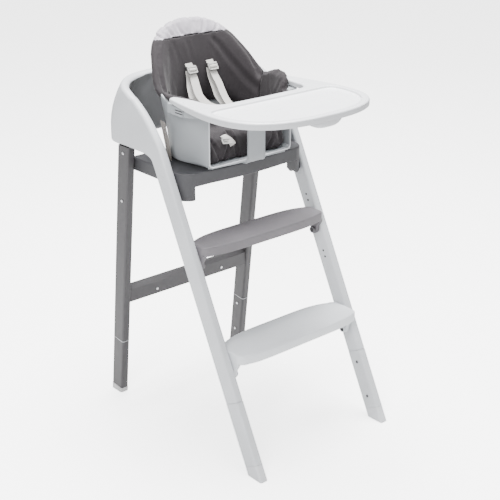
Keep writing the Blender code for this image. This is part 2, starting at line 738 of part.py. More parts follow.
STRAP_WIDTH = 0.022
BUCKLE = (0.0, 0.052, 0.842)


def shoulder_strap(side):
    tag = side_name(side)
    points = [(side * 0.035, 0.1855, 0.945), (side * 0.034, 0.170, 0.917),
              (side * 0.028, 0.136, 0.882), (side * 0.020, 0.100, 0.856),
              (side * 0.013, 0.070, 0.846)]
    strap("shoulder_strap_" + tag, points, STRAP_WIDTH, WEBBING)
    place = Matrix.Translation((side * 0.0345, 0.1700, 0.9300))
    place = place @ Matrix.Rotation(math.radians(-30), 4, 'X')
    slider = box("strap_slider_" + tag, (-0.016, -0.0045, -0.013), (0.016, -0.0005, 0.013),
                 BUCKLE_PLASTIC, 0.0012, 2)
    slider.matrix_world = place


def waist_strap(side):
    tag = side_name(side)
    points = [(side * 0.108, 0.090, 0.820), (side * 0.080, 0.075, 0.828),
              (side * 0.052, 0.062, 0.836), (side * 0.026, 0.055, 0.840)]
    half = Vector((0, 0, 1)) * 0.010
    rows = [[Vector(p) - half, Vector(p) + half] for p in points]
    sheet("waist_strap_" + tag, rows, WEBBING, 0.0018, 1)


def buckle():
    x, y, z = BUCKLE
    body = box("buckle_body", (x - 0.022, y - 0.008, z - 0.024), (x + 0.022, y + 0.004, z + 0.014),
               BUCKLE_PLASTIC, 0.003, 2)
    well = box_cutter("button_well", (x - 0.0095, y - 0.012, z - 0.0125),
                      (x + 0.0095, y - 0.003, z + 0.0065), 0.002)
    combine(body, well, 'DIFFERENCE')
    box("buckle_button", (x - 0.0090, y - 0.0095, z - 0.0120),
        (x + 0.0090, y - 0.0060, z + 0.0060), PLATE_PLASTIC, 0.0012, 2)
    points = [(0, 0.052, 0.8072), (0, 0.052, 0.8175)]
    strap("crotch_strap", points, STRAP_WIDTH, WEBBING)


def strap_adjuster():
    """The ladder lock and strap end that hang in front of the seat, on the child's right."""
    place = Matrix.Translation((-0.055, -0.0105, 0.790))
    lock = box("strap_adjuster", (-0.017, -0.004, -0.007), (0.017, -0.0005, 0.007),
               BUCKLE_PLASTIC, 0.0012, 2)
    lock.matrix_world = place @ Matrix.Rotation(math.radians(12), 4, 'Y')


def fixing_belt(side):
    """The strap that ties the baby seat to the plate, outside the tub's rear corner."""
    tag = side_name(side)
    half = Vector((0.30 * side, -1.0, 0)).normalized() * 0.0125
    points = [(side * 0.1545, 0.122, PLATE_TOP + 0.001), (side * 0.1570, 0.122, 0.755),
              (side * 0.1625, 0.121, 0.785), (side * 0.1690, 0.120, 0.812)]
    rows = [[Vector(p) - half * side, Vector(p) + half * side] for p in points]
    sheet("fixing_belt_" + tag, rows, BELT_WEBBING, 0.0018, -1)


# ---------------------------------------------------------------- tray
ARM_REAR = 0.068             # rear end of the tray's arms
CUT_HALF = 0.159             # half width of the space for the child
CUT_FRONT = -0.070           # front edge of that space
CUT_CORNER = 0.044
ARM_THIN_FROM = -0.075       # where the skirt starts to get shallower
ARM_THIN_ANGLE = 2.0         # degrees
WIDEST = -0.130              # where the tray is widest; the nose lies ahead of it
ARM_TAPER = 0.0275           # how much narrower the tray is ARM_TAPER_RUN behind WIDEST
ARM_TAPER_RUN = 0.18
SQUARENESS = 0.75            # power of the nose's super-ellipse: 1 is an ellipse
RECESS_EDGE = 0.018
RECESS_BACK = -0.098
RECESS_CORNER = 0.030


def nose(half, reach, angles):
    """Points of a super-ellipse from the tray's widest line forwards to its middle."""
    points = []
    for angle in angles:
        turn = math.radians(angle)
        points.append((half * abs(math.cos(turn)) ** SQUARENESS,
                       WIDEST - reach * math.sin(turn) ** SQUARENESS))
    return points


def mirror_outline(half):
    """A half outline that ends on X = 0, continued on the other side."""
    return half + [(-x, y) for x, y in reversed(half[:-1])]


def tray_outline(inset=0.0):
    """Outer edge of the tray from one arm to the other, then round the child's space."""
    half = TRAY_HALF - inset
    right = []
    for y in (ARM_REAR - inset, 0.025, -0.015, -0.055, -0.092):
        taper = ARM_TAPER * ((y - WIDEST) / ARM_TAPER_RUN) ** 1.4
        right.append((half - taper, y))
    right += nose(half, WIDEST - TRAY_FRONT - inset, (0, 10, 20, 32, 45, 58, 70, 80))
    right.append((0.0, TRAY_FRONT + inset))
    inner_half = CUT_HALF + inset
    inner = [(-inner_half - 0.013, ARM_REAR - inset), (-inner_half - 0.005, 0.030)]
    inner += [(-x, y) for x, y in
              arc((inner_half - CUT_CORNER, CUT_FRONT - inset + CUT_CORNER), CUT_CORNER,
                  0, -90, 5)]
    inner.append((0.0, CUT_FRONT - inset - 0.003))
    return mirror_outline(right) + mirror_outline(inner)


def recess_outline():
    half = TRAY_HALF - RECESS_EDGE
    centre = (half - RECESS_CORNER, RECESS_BACK - RECESS_CORNER)
    right = arc(centre, RECESS_CORNER, 90, 0, 4)
    right += nose(half, WIDEST - TRAY_FRONT - RECESS_EDGE, (12, 25, 40, 55, 70))
    right.append((0.0, TRAY_FRONT + RECESS_EDGE))
    return mirror_outline(right)


def tray():
    under = TRAY_TOP - TRAY_THICK
    made = plate_from_outline("tray", tray_outline(), under, TRAY_TOP, TRAY_PLASTIC)
    add_bevel(made, 0.004, 2, 50)
    hollow = plate_from_outline("tray_hollow", tray_outline(0.0045), under - 0.010,
                                TRAY_TOP - 0.0080, None, CUTTERS)
    combine(made, hollow, 'DIFFERENCE')
    recess = plate_from_outline("tray_recess", recess_outline(), TRAY_TOP - 0.0045,
                                TRAY_TOP + 0.010, None, CUTTERS)
    combine(made, recess, 'DIFFERENCE')
    # the skirt gets shallower along the arms
    wedge = box_cutter("arm_wedge", (-0.30, 0.0, -0.030), (0.30, 0.30, 0.0))
    lean = Matrix.Rotation(math.radians(ARM_THIN_ANGLE), 4, 'X')
    wedge.matrix_world = Matrix.Translation((0, ARM_THIN_FROM, under)) @ lean
    combine(made, wedge, 'DIFFERENCE')


def tray_handle():
    """The release pull below the middle of the tray's front edge."""
    under = TRAY_TOP - TRAY_THICK - 0.0004
    box("tray_handle", (-0.056, TRAY_FRONT - 0.001, under - 0.0155),
        (0.056, TRAY_FRONT + 0.036, under), TRAY_PLASTIC, 0.0075, 3)


def tray_latch(side):
    """A plate that holds on to the outside of the ledge below an arm of the tray."""
    inner = RAIL_OUTER + GAP
    edges = (side * inner, side * (inner + 0.0035))
    box("tray_latch_" + side_name(side), (min(edges), LATCH_MID - 0.022, RAIL_LOW + 0.0005),
        (max(edges), LATCH_MID + 0.022, TRAY_TOP - TRAY_THICK - 0.0015), LIGHT_PLASTIC, 0.0008, 1)


# ---------------------------------------------------------------- build
rear_crossbar()
backrest_hoop()
seat_plate()
footrest()
lower_step()
seat_shell()
seat_cushion()
back_cover("back_cushion", 0.60, PANEL_SEAM - GAP, FABRIC)
back_cover("head_panel", PANEL_SEAM + GAP, 1.20, SILVER_FABRIC)
buckle()
strap_adjuster()
tray()
tray_handle()
for leg_side in (1, -1):
    front_leg(leg_side)
    rear_leg(leg_side)
    wing(leg_side)
    shoulder_strap(leg_side)
    waist_strap(leg_side)
    fixing_belt(leg_side)
    tray_latch(leg_side)
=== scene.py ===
"""Looks of the baby high chair: finer plastic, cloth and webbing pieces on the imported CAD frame."""
import math

import bmesh
import bpy
import numpy as np
from mathutils import Matrix, Vector, noise
from mathutils.geometry import tessellate_polygon


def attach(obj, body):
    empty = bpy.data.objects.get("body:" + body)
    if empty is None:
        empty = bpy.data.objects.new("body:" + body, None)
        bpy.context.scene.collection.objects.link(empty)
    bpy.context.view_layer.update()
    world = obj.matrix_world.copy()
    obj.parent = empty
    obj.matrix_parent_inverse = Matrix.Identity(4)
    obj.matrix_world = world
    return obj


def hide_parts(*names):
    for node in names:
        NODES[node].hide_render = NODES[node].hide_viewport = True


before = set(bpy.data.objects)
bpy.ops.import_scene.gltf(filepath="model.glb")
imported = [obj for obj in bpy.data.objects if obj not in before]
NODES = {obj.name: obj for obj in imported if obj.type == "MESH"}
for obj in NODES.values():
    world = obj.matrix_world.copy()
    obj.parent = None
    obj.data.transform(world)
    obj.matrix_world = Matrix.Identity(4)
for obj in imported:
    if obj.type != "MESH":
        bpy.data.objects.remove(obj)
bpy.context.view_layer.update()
SIDES = (("left", 1), ("right", -1))


TRAY_TOP = 0.904
HOOP_JOINT = 0.745           # height of the seam between the front legs and the hoop
HOOP_CENTRE = (0.0, 0.1, 0.0)


# ---------------------------------------------------------------- materials
FLOW = (9.0, 4.0, 0.6)       # noise of the flow marks in plastic
THREAD_PITCH = 430.0


class Look:
    """A Principled material with helpers that add procedural detail in object space."""

    def __init__(self, name, roughness, metallic=0.0):
        self.material = bpy.data.materials.new(name)
        self.material.use_nodes = True
        self.tree = self.material.node_tree
        self.shader = self.tree.nodes["Principled BSDF"]
        self.shader.inputs["Metallic"].default_value = metallic
        self.shader.inputs["Roughness"].default_value = roughness
        coordinates = self.node("TexCoord")
        self.place = coordinates.outputs["Object"]
        self.facing = coordinates.outputs["Normal"]
        self.last_bump = None

    def node(self, kind, **inputs):
        made = self.tree.nodes.new("ShaderNode" + kind)
        for key, value in inputs.items():
            self.feed(made.inputs[key.replace("_", " ")], value)
        return made

    def feed(self, socket, value):
        """Sets a socket to a constant or links it to another node's output."""
        if isinstance(value, bpy.types.NodeSocket):
            self.tree.links.new(value, socket)
        else:
            socket.default_value = value

    def noise(self, scale, detail=3.0, roughness=0.5, place=None):
        return self.node("TexNoise", Scale=scale, Detail=detail, Roughness=roughness,
                         Vector=place or self.place).outputs["Fac"]

    def wave(self, scale, direction):
        made = self.node("TexWave", Scale=scale, Vector=self.place)
        made.bands_direction = direction
        return made.outputs["Fac"]

    def ramp(self, source, low, high, start=0.3, end=0.7):
        made = self.node("ValToRGB", Fac=source)
        for stop, position, colour in zip(made.color_ramp.elements, (start, end), (low, high)):
            stop.position = position
            stop.color = (*colour, 1)
        return made.outputs["Color"]

    def tones(self, source, colour, dark, bright, start=0.3, end=0.7):
        """From the colour times dark to the colour times bright."""
        low, high = [[min(1.0, c * factor) for c in colour] for factor in (dark, bright)]
        return self.ramp(source, low, high, start, end)

    def remap(self, source, start, end, low=0.0, high=1.0):
        """low where the source is at start, high where it is at end."""
        return self.node("MapRange", Value=source, From_Min=start, From_Max=end, To_Min=low,
                         To_Max=high).outputs["Result"]

    def upward(self, source):
        return self.node("SeparateXYZ", Vector=source).outputs["Z"]

    def multiply(self, a, b):
        made = self.node("Math")
        made.operation = 'MULTIPLY'
        self.feed(made.inputs[0], a)
        self.feed(made.inputs[1], b)
        return made.outputs["Value"]

    def mix(self, factor, a, b):
        made = self.node("Mix")
        made.data_type = 'RGBA'
        for index, value in ((0, factor), (6, a), (7, b)):
            self.feed(made.inputs[index], value)
        return made.outputs[2]

    def colour(self, source):
        self.feed(self.shader.inputs["Base Color"], source)

    def rough(self, source, low, high):
        self.feed(self.shader.inputs["Roughness"], self.remap(source, 0.0, 1.0, low, high))

    def bump(self, source, strength, distance):
        made = self.node("Bump", Strength=strength, Distance=distance, Height=source)
        if self.last_bump is not None:
            self.feed(made.inputs["Normal"], self.last_bump)
        self.last_bump = made.outputs["Normal"]
        self.feed(self.shader.inputs["Normal"], self.last_bump)

    def moulded(self, roughness, grain):
        """Uneven gloss, spark-eroded grain and faint sink marks."""
        self.rough(self.noise(38.0), roughness - 0.05, roughness + 0.07)
        self.bump(self.noise(1900.0, 2.0), grain, 0.0003)
        self.bump(self.noise(14.0, 2.0), 0.05, 0.002)
        return self.material


def plastic(name, colour, roughness, grain=0.1, contrast=0.035):
    """Moulded plastic with faint flow marks."""
    look = Look(name, roughness)
    look.colour(look.tones(look.noise(*FLOW), colour, 1 - contrast, 1 + contrast))
    return look.moulded(roughness, grain)


def paint(name, colour, roughness):
    """Powder coat: orange peel, tiny specks and a slow change of tone along the tube."""
    look = Look(name, roughness)
    tone = look.tones(look.noise(5.0, 2.0), colour, 0.965, 1.03)
    speck = look.tones(look.noise(900.0, 1.0), colour, 0.9, 1.08)
    look.colour(look.mix(0.22, tone, speck))
    look.rough(look.noise(60.0), roughness - 0.06, roughness + 0.08)
    look.bump(look.noise(520.0, 2.0), 0.16, 0.0004)
    return look.material


def steel(name, colour, roughness):
    """Metal with tiny scratches and patches of duller plating."""
    look = Look(name, roughness, 1.0)
    look.colour(look.tones(look.noise(300.0), colour, 0.86, 1.08))
    look.rough(look.noise(900.0, 2.0), roughness - 0.08, roughness + 0.12)
    look.bump(look.noise(1500.0, 2.0), 0.1, 0.0002)
    return look.material


def cloth(name, colour, roughness, weave=0.3, sheen=0.12, crease=0.0009):
    """Coated woven cloth: crossing threads, melange, soft creases and a little sheen."""
    look = Look(name, roughness)
    threads = look.multiply(look.wave(THREAD_PITCH, 'X'), look.wave(THREAD_PITCH, 'Z'))
    melange = look.tones(look.noise(1300.0, 2.0), colour, 0.8, 1.22)
    wear = look.tones(look.noise(16.0, 4.0, 0.6), colour, 0.88, 1.13)
    look.colour(look.mix(0.42, wear, melange))
    look.rough(look.noise(25.0), roughness - 0.08, roughness + 0.08)
    upright = look.node("Mapping", Scale=(1.0, 1.0, 0.45), Vector=look.place).outputs["Vector"]
    look.bump(look.noise(34.0, 5.0, 0.55, upright), 0.55, crease)
    look.bump(threads, weave, 0.0003)
    look.shader.inputs["Sheen Weight"].default_value = sheen
    look.shader.inputs["Sheen Roughness"].default_value = 0.45
    look.shader.inputs["Specular IOR Level"].default_value = 0.25
    return look.material


def webbing(name, colour):
    """Woven strap: fine diagonal ribs, painted shade in the grooves between them and a fuzzy surface.
    """
    look = Look(name, 0.85)
    weave = look.multiply(look.wave(230.0, 'DIAGONAL'), look.wave(300.0, 'Z'))
    # painted shade: the grooves of the weave are darker
    base = look.tones(weave, colour, 0.9, 1.06, 0.0, 0.6)
    yarn = look.tones(look.noise(1500.0, 2.0), colour, 0.86, 1.1)
    look.colour(look.mix(0.35, base, yarn))
    look.bump(weave, 0.5, 0.0004)
    look.bump(look.noise(60.0), 0.25, 0.0012)
    look.shader.inputs["Sheen Weight"].default_value = 0.2
    return look.material


def hoop_plastic(name, outer, inner):
    """Light outside; painted shade darkens the wall that faces the seat, where the hoop's inside lies
    in shade.
    """
    look = Look(name, 0.44)
    flow = look.noise(*FLOW)
    light = look.tones(flow, outer, 0.965, 1.035)
    dark = look.tones(flow, inner, 0.94, 1.06)
    offset = look.node("VectorMath")
    offset.operation = 'SUBTRACT'
    look.feed(offset.inputs[0], look.place)
    look.feed(offset.inputs[1], HOOP_CENTRE)
    outward = look.node("VectorMath")
    outward.operation = 'DOT_PRODUCT'
    look.feed(outward.inputs[0], offset.outputs["Vector"])
    look.feed(outward.inputs[1], look.facing)
    # painted shade mask: walls that face the hoop's centre, above the joint with the legs
    inside = look.remap(outward.outputs["Value"], -0.03, -0.13)
    high = look.remap(look.upward(look.place), HOOP_JOINT, HOOP_JOINT + 0.02)
    look.colour(look.mix(look.multiply(inside, high), light, dark))
    return look.moulded(0.44, 0.1)


def tray_plastic(name, floor, rim, skirt):
    """Glossy white plastic; painted shade makes the raised rim and the sideways-facing skirt a little
    greyer than the recess.
    """
    look = Look(name, 0.28)
    flow = look.noise(*FLOW)
    floor, rim, skirt = [look.tones(flow, c, 0.988, 1.012) for c in (floor, rim, skirt)]
    # painted shade: the raised rim is greyer than the recess floor
    raised = look.remap(look.upward(look.place), TRAY_TOP - 0.0052, TRAY_TOP - 0.003)
    # painted shade: faces that do not face up, such as the skirt, are greyer
    upper = look.remap(look.upward(look.facing), 0.35, 0.85)
    look.colour(look.mix(upper, skirt, look.mix(raised, floor, rim)))
    return look.moulded(0.28, 0.05)


LEG_DARK = paint("dark_leg_paint_fine", (0.05, 0.048, 0.051), 0.48)
HOOP = plastic("leg_plastic_fine", (0.5, 0.515, 0.535), 0.44)
# the hoop's wall that faces the seat gets painted shade in the inner colour
HOOP_PAINTED_SHADE = hoop_plastic("hoop_plastic_fine", (0.5, 0.515, 0.535), (0.15, 0.152, 0.157))
SHELL = plastic("light_plastic_fine", (0.275, 0.29, 0.305), 0.4)
STEP = plastic("step_plastic_fine", (0.6, 0.62, 0.645), 0.46)
PLATE = plastic("plate_plastic_fine", (0.038, 0.038, 0.042), 0.5, 0.2, 0.06)
FOOTREST = plastic("footrest_plastic_fine", (0.132, 0.124, 0.134), 0.5, 0.18, 0.05)
# one white plastic; the rim and skirt colours are painted shade
TRAY = tray_plastic("tray_plastic_fine", (0.86, 0.87, 0.89), (0.7, 0.71, 0.735),
                    (0.5, 0.51, 0.53))
FOOT = plastic("foot_rubber_fine", (0.48, 0.48, 0.48), 0.75, 0.3, 0.06)
FOOT_LIGHT = plastic("front_foot_rubber_fine", (0.54, 0.55, 0.57), 0.65, 0.25, 0.05)
# dark discs and boxes of painted shade inside holes, bores and slots
SHADE_BLACK = plastic("painted_shade_black", (0.018, 0.018, 0.02), 0.6, 0.2, 0.2)
STEEL = steel("zinc_steel_fine", (0.72, 0.72, 0.73), 0.3)
DARK_STEEL = steel("black_oxide_steel", (0.1, 0.1, 0.105), 0.38)
FABRIC = cloth("dark_fabric_fine", (0.0205, 0.0175, 0.0196), 0.8)
SILVER = cloth("silver_fabric_fine", (0.34, 0.318, 0.352), 0.5, 0.2, 0.35, 0.003)
PIPING = cloth("piping_fabric_fine", (0.018, 0.016, 0.0175), 0.85, 0.4, 0.2, 0.0004)
WEBBING = webbing("light_webbing_fine", (0.4, 0.39, 0.372))
BELT = webbing("belt_webbing_fine", (0.27, 0.245, 0.225))
BUCKLE = plastic("buckle_plastic_fine", (0.42, 0.415, 0.405), 0.42)


# ---------------------------------------------------------------- mesh helpers
def new_object(name, data):
    made = bpy.data.objects.new(name, data)
    bpy.context.scene.collection.objects.link(made)
    return made


def adopt(made, body, replaces=()):
    """The object rides on a body of the frame and stands for these CAD nodes."""
    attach(made, body)
    if replaces:
        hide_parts(*replaces)


class Build:
    """Collects vertices and faces of one mesh."""

    def __init__(self):
        self.verts = []
        self.faces = []

    def loop(self, points):
        start = len(self.verts)
        self.verts += [Vector(p) for p in points]
        return list(range(start, len(self.verts)))

    def bridge(self, a, b, closed=True):
        last = len(a) if closed else len(a) - 1
        for i in range(last):
            j = (i + 1) % len(a)
            self.faces.append((a[i], a[j], b[j], b[i]))

    def loft(self, loops, ring=False):
        """Skin over closed loops, with flat ends or closed to a ring."""
        rows = [self.loop(points) for points in loops]
        for a, b in zip(rows, rows[1:]):
            self.bridge(a, b)
        if ring:
            self.bridge(rows[-1], rows[0])
        else:
            self.faces += [tuple(rows[0]), tuple(rows[-1])]

    def box(self, low, high, bevel, segments=3, matrix=None):
        data = bmesh.new()
        bmesh.ops.create_cube(data, size=1.0)
        low, high = Vector(low), Vector(high)
        bmesh.ops.scale(data, vec=high - low, verts=data.verts)
        bmesh.ops.translate(data, vec=(low + high) / 2, verts=data.verts)
        bmesh.ops.bevel(data, geom=data.edges[:], offset=bevel, segments=segments,
                        profile=0.5, affect='EDGES')
        self.add(data, matrix)

    def cylinder(self, start, end, radius, sides, bevel):
        data = bmesh.new()
        start, end = Vector(start), Vector(end)
        turn = (end - start).to_track_quat('Z', 'Y').to_matrix().to_4x4()
        bmesh.ops.create_cone(data, cap_ends=True, segments=sides, radius1=radius,
                              radius2=radius, depth=(end - start).length)
        rims = [e for e in data.edges if e.calc_face_angle(0) > 1.0]
        bmesh.ops.bevel(data, geom=rims, offset=bevel, segments=3, profile=0.5, affect='EDGES')
        self.add(data, Matrix.Translation((start + end) / 2) @ turn)

    def add(self, data, matrix=None):
        if matrix is not None:
            bmesh.ops.transform(data, matrix=matrix, verts=data.verts)
        data.verts.index_update()
        start = len(self.verts)
        self.verts += [v.co.copy() for v in data.verts]
        self.faces += [tuple(start + v.index for v in f.verts) for f in data.faces]
        data.free()

    def mesh(self, name):
        """The collected faces with their normals outwards."""
        mesh = bpy.data.meshes.new(name)
        mesh.from_pydata([tuple(v) for v in self.verts], [], self.faces)
        mesh.validate()
        data = bmesh.new()
        data.from_mesh(mesh)
        bmesh.ops.remove_doubles(data, verts=data.verts, dist=0.00001)
        bmesh.ops.recalc_face_normals(data, faces=data.faces)
        data.to_mesh(mesh)
        data.free()
        return mesh

    def make(self, name, look, body, replaces=(), angle=40):
        """A finished piece; edges sharper than angle stay crisp."""
        mesh = self.mesh(name)
        mesh.shade_smooth()
        mesh.set_sharp_from_angle(angle=math.radians(angle))
        mesh.materials.append(look)
        made = new_object(name, mesh)
        made.modifiers.new("normals", 'WEIGHTED_NORMAL').keep_sharp = True
        adopt(made, body, replaces)


def hermite(rows, step, closed=False):
    """Rows of numbers resampled every step along a smooth curve through them."""
    rows = np.array(rows, float)
    if closed:
        rows = np.vstack([rows, rows[:1]])
    gap = np.linalg.norm(np.diff(rows, axis=0), axis=1) / math.sqrt(rows.shape[1] / 3)
    t = np.concatenate([[0], np.cumsum(gap)])
    slope = np.diff(rows, axis=0) / gap[:, None]
    inner = (slope[:-1] * gap[1:, None] + slope[1:] * gap[:-1, None]) / (gap[1:] + gap[:-1])[:, None]
    if closed:
        seam = (slope[-1] * gap[0] + slope[0] * gap[-1]) / (gap[0] + gap[-1])
        tangent = np.vstack([seam, inner, seam])
    else:
        tangent = np.vstack([slope[0], inner, slope[-1]])
    count = max(2, int(round(t[-1] / step)) + 1)
    u = np.linspace(0, t[-1], count)
    if closed:
        u = u[:-1]
    k = np.clip(np.searchsorted(t, u, side='right') - 1, 0, len(gap) - 1)
    h = gap[k][:, None]
    s = (u - t[k])[:, None] / h
    return ((2 * s**3 - 3 * s**2 + 1) * rows[k] + (s**3 - 2 * s**2 + s) * h * tangent[k]
            + (-2 * s**3 + 3 * s**2) * rows[k + 1] + (s**3 - s**2) * h * tangent[k + 1])


def blend(x, known, rows):
    """Rows of numbers known at some places, interpolated at x."""
    return np.stack([np.interp(x, known, column) for column in np.transpose(rows)], axis=1)


def along(points, distances):
    """Points at these distances along a polyline."""
    points = np.asarray(points, float)
    t = np.concatenate([[0], np.cumsum(np.linalg.norm(np.diff(points, axis=0), axis=1))])
    return blend(distances, t, points)


def length_of(points):
    return float(np.linalg.norm(np.diff(np.asarray(points), axis=0), axis=1).sum())


def unit(vectors):
    return vectors / (np.linalg.norm(vectors, axis=-1, keepdims=True) + 1e-12)


def level(vectors):
    """The same directions without their upward part."""
    return unit(vectors * (1, 1, 0))


def surface_normals(grid):
    return unit(np.cross(np.gradient(grid, axis=0), np.gradient(grid, axis=1)))


def grid_normals(grid, centre):
    """Unit normals of a grid of points, on the side of the centre line."""
    normal = surface_normals(grid)
    towards = (centre - grid) * (1, 1, 0)
    return normal * np.sign((normal * towards).sum(axis=2, keepdims=True))


def quarter(distance, radius):
    """How far a rounded edge of this radius falls back at a distance from the edge."""
    inside = np.clip(radius - distance, 0, radius)
    return radius - np.sqrt(np.maximum(radius**2 - inside**2, 0))


def soft(x, low, high):
    """A smooth step from 0 at low to 1 at high."""
    t = min(1.0, max(0.0, (x - low) / (high - low)))
    return t * t * (3 - 2 * t)


# ---------------------------------------------------------------- chair dimensions, metres
OUTER_HALF = 0.232
LEG_WIDTH = 0.024
FOOT_HALF = 0.3275
FRONT_LEAN = 0.497
FRONT_DEPTH = 0.048
LEG_ROUND = 0.0065           # edge radius of the front legs; the hoop's rim is rounder
FRONT_SEAM = 0.178
REAR_LEAN = -0.1173
REAR_DEPTH = 0.047
REAR_X = 0.222
REAR_SEAM = 0.172
HOOP_BOTTOM = 0.754
HOOP_REAR = 0.31
HOOP_TOP = 0.92
RIM_START = (0.06, 0.78)
FILLET = [(0.097, 0.743), (0.109, 0.749), (0.128, 0.753)]
SIDE_TOPS = [0.062, 0.082, 0.105, 0.13, 0.158]
HOOP_ROWS = 13               # points up the wall of the hoop
HOLE_HEIGHTS = (0.4225, 0.438, 0.5675, 0.583)
CAP_HEIGHTS = (0.705, 0.672)
INNER_HALF = 0.2075
PLATE_TOP = 0.722
PLATE_LOW = 0.686
PLATE_REAR = 0.216
PLATE_BOLT = 0.659           # the bolts are heights, as are the faces of the boards
FOOTREST_LOW = 0.527
FOOTREST_TOP = 0.552
FOOTREST_BOLT = 0.495
STEP_LOW = 0.278
STEP_TOP = 0.303
STEP_BOLT = 0.24
PLATE_CORNER = 0.045         # radius of the plate's front corners and their centres' Y
PLATE_CORNER_Y = 0.035
LUG_DEEP = 0.018             # reach of a board's lug inwards from the leg
PLATE_LUG_DEEP = 0.026
HOLE_BEHIND = 0.0255
SHELL_BASE = 0.7223
TRAY_LOW = TRAY_TOP - 0.017


def front_leg_y(z, behind=0.0):
    """Y of a point this far behind the front leg's front face, at height z."""
    return -FOOT_HALF + FRONT_LEAN * z + behind


# ---------------------------------------------------------------- hoop and front legs
def hoop_corner(z):
    """Corner radius of the hoop in plan; it grows towards the rim."""
    rise = max(0.0, z - 0.79)
    return 0.058 + 5.6 * rise * rise


def hoop_top_height(y):
    """Height of the hoop's rim along its sides."""
    share = min(1.0, max(0.0, (y - RIM_START[0]) / (HOOP_REAR - 0.01 - RIM_START[0])))
    return RIM_START[1] + (HOOP_TOP - RIM_START[1]) * (1 - (1 - share) ** 2.3)


def hoop_rear_point(angle, share, rise):
    """A point of the rear: angle round the corner, share of the half width, rise 0 to 1."""
    turn = math.radians(angle)
    top = HOOP_TOP
    for _ in range(12):
        top = (top + hoop_top_height(HOOP_REAR - hoop_corner(top) * (1 - math.sin(turn)))) / 2
    z = HOOP_BOTTOM + (top - HOOP_BOTTOM) * rise
    radius = hoop_corner(z)
    x = OUTER_HALF - radius * (1 - math.cos(turn))
    return (x * share, HOOP_REAR - radius * (1 - math.sin(turn)), z)


def hoop_stations():
    """Columns of outer points from the left leg's seam over the hoop to its rear middle."""
    slope = math.sqrt(1 + FRONT_LEAN**2)
    square = Vector((1, -FRONT_LEAN)) / slope * FRONT_DEPTH / 2
    pairs = []
    for z in (FRONT_SEAM + 0.0012, 0.26, 0.36, 0.46, 0.56, 0.64, 0.7, HOOP_JOINT):
        middle = Vector((front_leg_y(z, FRONT_DEPTH * slope / 2), z))
        pairs.append((middle + square, middle - square))
    lows = FILLET + [(0.15, HOOP_BOTTOM), (0.195, HOOP_BOTTOM)]
    pairs += [(Vector(low), Vector((y, hoop_top_height(y)))) for low, y in zip(lows, SIDE_TOPS)]
    rises = np.linspace(0, 1, HOOP_ROWS)
    columns = [[(OUTER_HALF, *low.lerp(high, r)) for r in rises] for low, high in pairs]
    columns += [[hoop_rear_point(a, 1.0, r) for r in rises] for a in range(0, 91, 15)]
    columns += [[hoop_rear_point(90, share, r) for r in rises] for share in (0.5, 0.0)]
    return columns


def wall_loops(grid, thick, low_round, high_round, centre):
    """Closed cross-sections of a wall behind a grid of outer points, with rounded edges."""
    loops = []
    normals = grid_normals(grid, centre)
    for column, normal, r_low, r_high in zip(grid, normals, low_round, high_round):
        total = length_of(column)
        cuts = np.array([0, 0.06, 0.2, 0.42, 0.7, 1.0])
        middle = np.linspace(r_low, total - r_high, 8)[1:-1]
        s = np.concatenate([cuts * r_low, middle, total - cuts[::-1] * r_high])
        points = along(column, s)
        inward = unit(blend(s / total, np.linspace(0, 1, len(normal)), normal))
        fall = np.maximum(quarter(s, r_low), quarter(total - s, r_high))[:, None]
        outer = points + inward * fall
        inner = points + inward * (thick - fall)
        loops.append(list(outer) + list(inner[::-1]))
    return loops


def make_hoop():
    """The hoop with both front legs in one moulding, dark discs of painted shade for their holes, and
    bolt caps.
    """
    half = hoop_stations()
    mirrored = [[(-x, y, z) for x, y, z in column] for column in reversed(half[:-1])]
    grid = hermite([np.ravel(c) for c in half + mirrored], 0.0075).reshape(-1, HOOP_ROWS, 3)
    high = [LEG_ROUND + 0.0038 * soft(z, 0.74, 0.82) for z in grid[:, -1, 2]]
    low = [LEG_ROUND] * len(high)
    build = Build()
    build.loft(wall_loops(grid, LEG_WIDTH, low, high, HOOP_CENTRE))
    build.make("hoop_and_upper_legs", HOOP_PAINTED_SHADE, "frame",
               ("backrest_hoop", "front_leg_upper_left", "front_leg_upper_right"))
    for tag, side in SIDES:
        # the holes are dark discs of painted shade
        discs("leg_holes_" + tag, SHADE_BLACK, side, OUTER_HALF - LEG_WIDTH - 0.0003,
              OUTER_HALF - LEG_WIDTH + 0.004, HOLE_HEIGHTS, HOLE_BEHIND, (0.0031, 20, 0.0002))
        discs("bolt_caps_" + tag, HOOP, side, OUTER_HALF + 0.0005, OUTER_HALF - 0.002,
              CAP_HEIGHTS, HOLE_BEHIND + 0.002, (0.0062, 28, 0.0004))


def discs(name, look, side, face, back, heights, behind, shape):
    """Flat round discs in the front leg, between the X distances back and face."""
    build = Build()
    for z in heights:
        y = front_leg_y(z, behind)
        build.cylinder((side * back, y, z), (side * face, y, z), *shape)
    build.make(name, look, "frame")


# ---------------------------------------------------------------- boards
def arc(centre, radius, start, end, count):
    turns = [math.radians(start + (end - start) * i / count) for i in range(count + 1)]
    return [(centre[0] + radius * math.cos(t), centre[1] + radius * math.sin(t)) for t in turns]


def mirror_outline(half):
    """A half outline that ends on X = 0, continued on the other side."""
    return half + [(-x, y) for x, y in reversed(half[:-1])]


def inset_loop(outline, amount):
    """A convex outline moved inwards, point by point."""
    outline = [Vector(p) for p in outline]
    centre = sum(outline, Vector((0, 0))) / len(outline)
    points = []
    for before, here, after in zip(outline[-1:] + outline, outline, outline[1:] + outline[:1]):
        a = (here - before).normalized()
        b = (after - here).normalized()
        bisector = Vector((-a.y - b.y, a.x + b.x))
        if Vector((-a.y, a.x)).dot(centre - here) < 0:
            bisector = -bisector
        bisector /= max(0.35, bisector.length_squared / 2)
        points.append(here + bisector * amount)
    return points


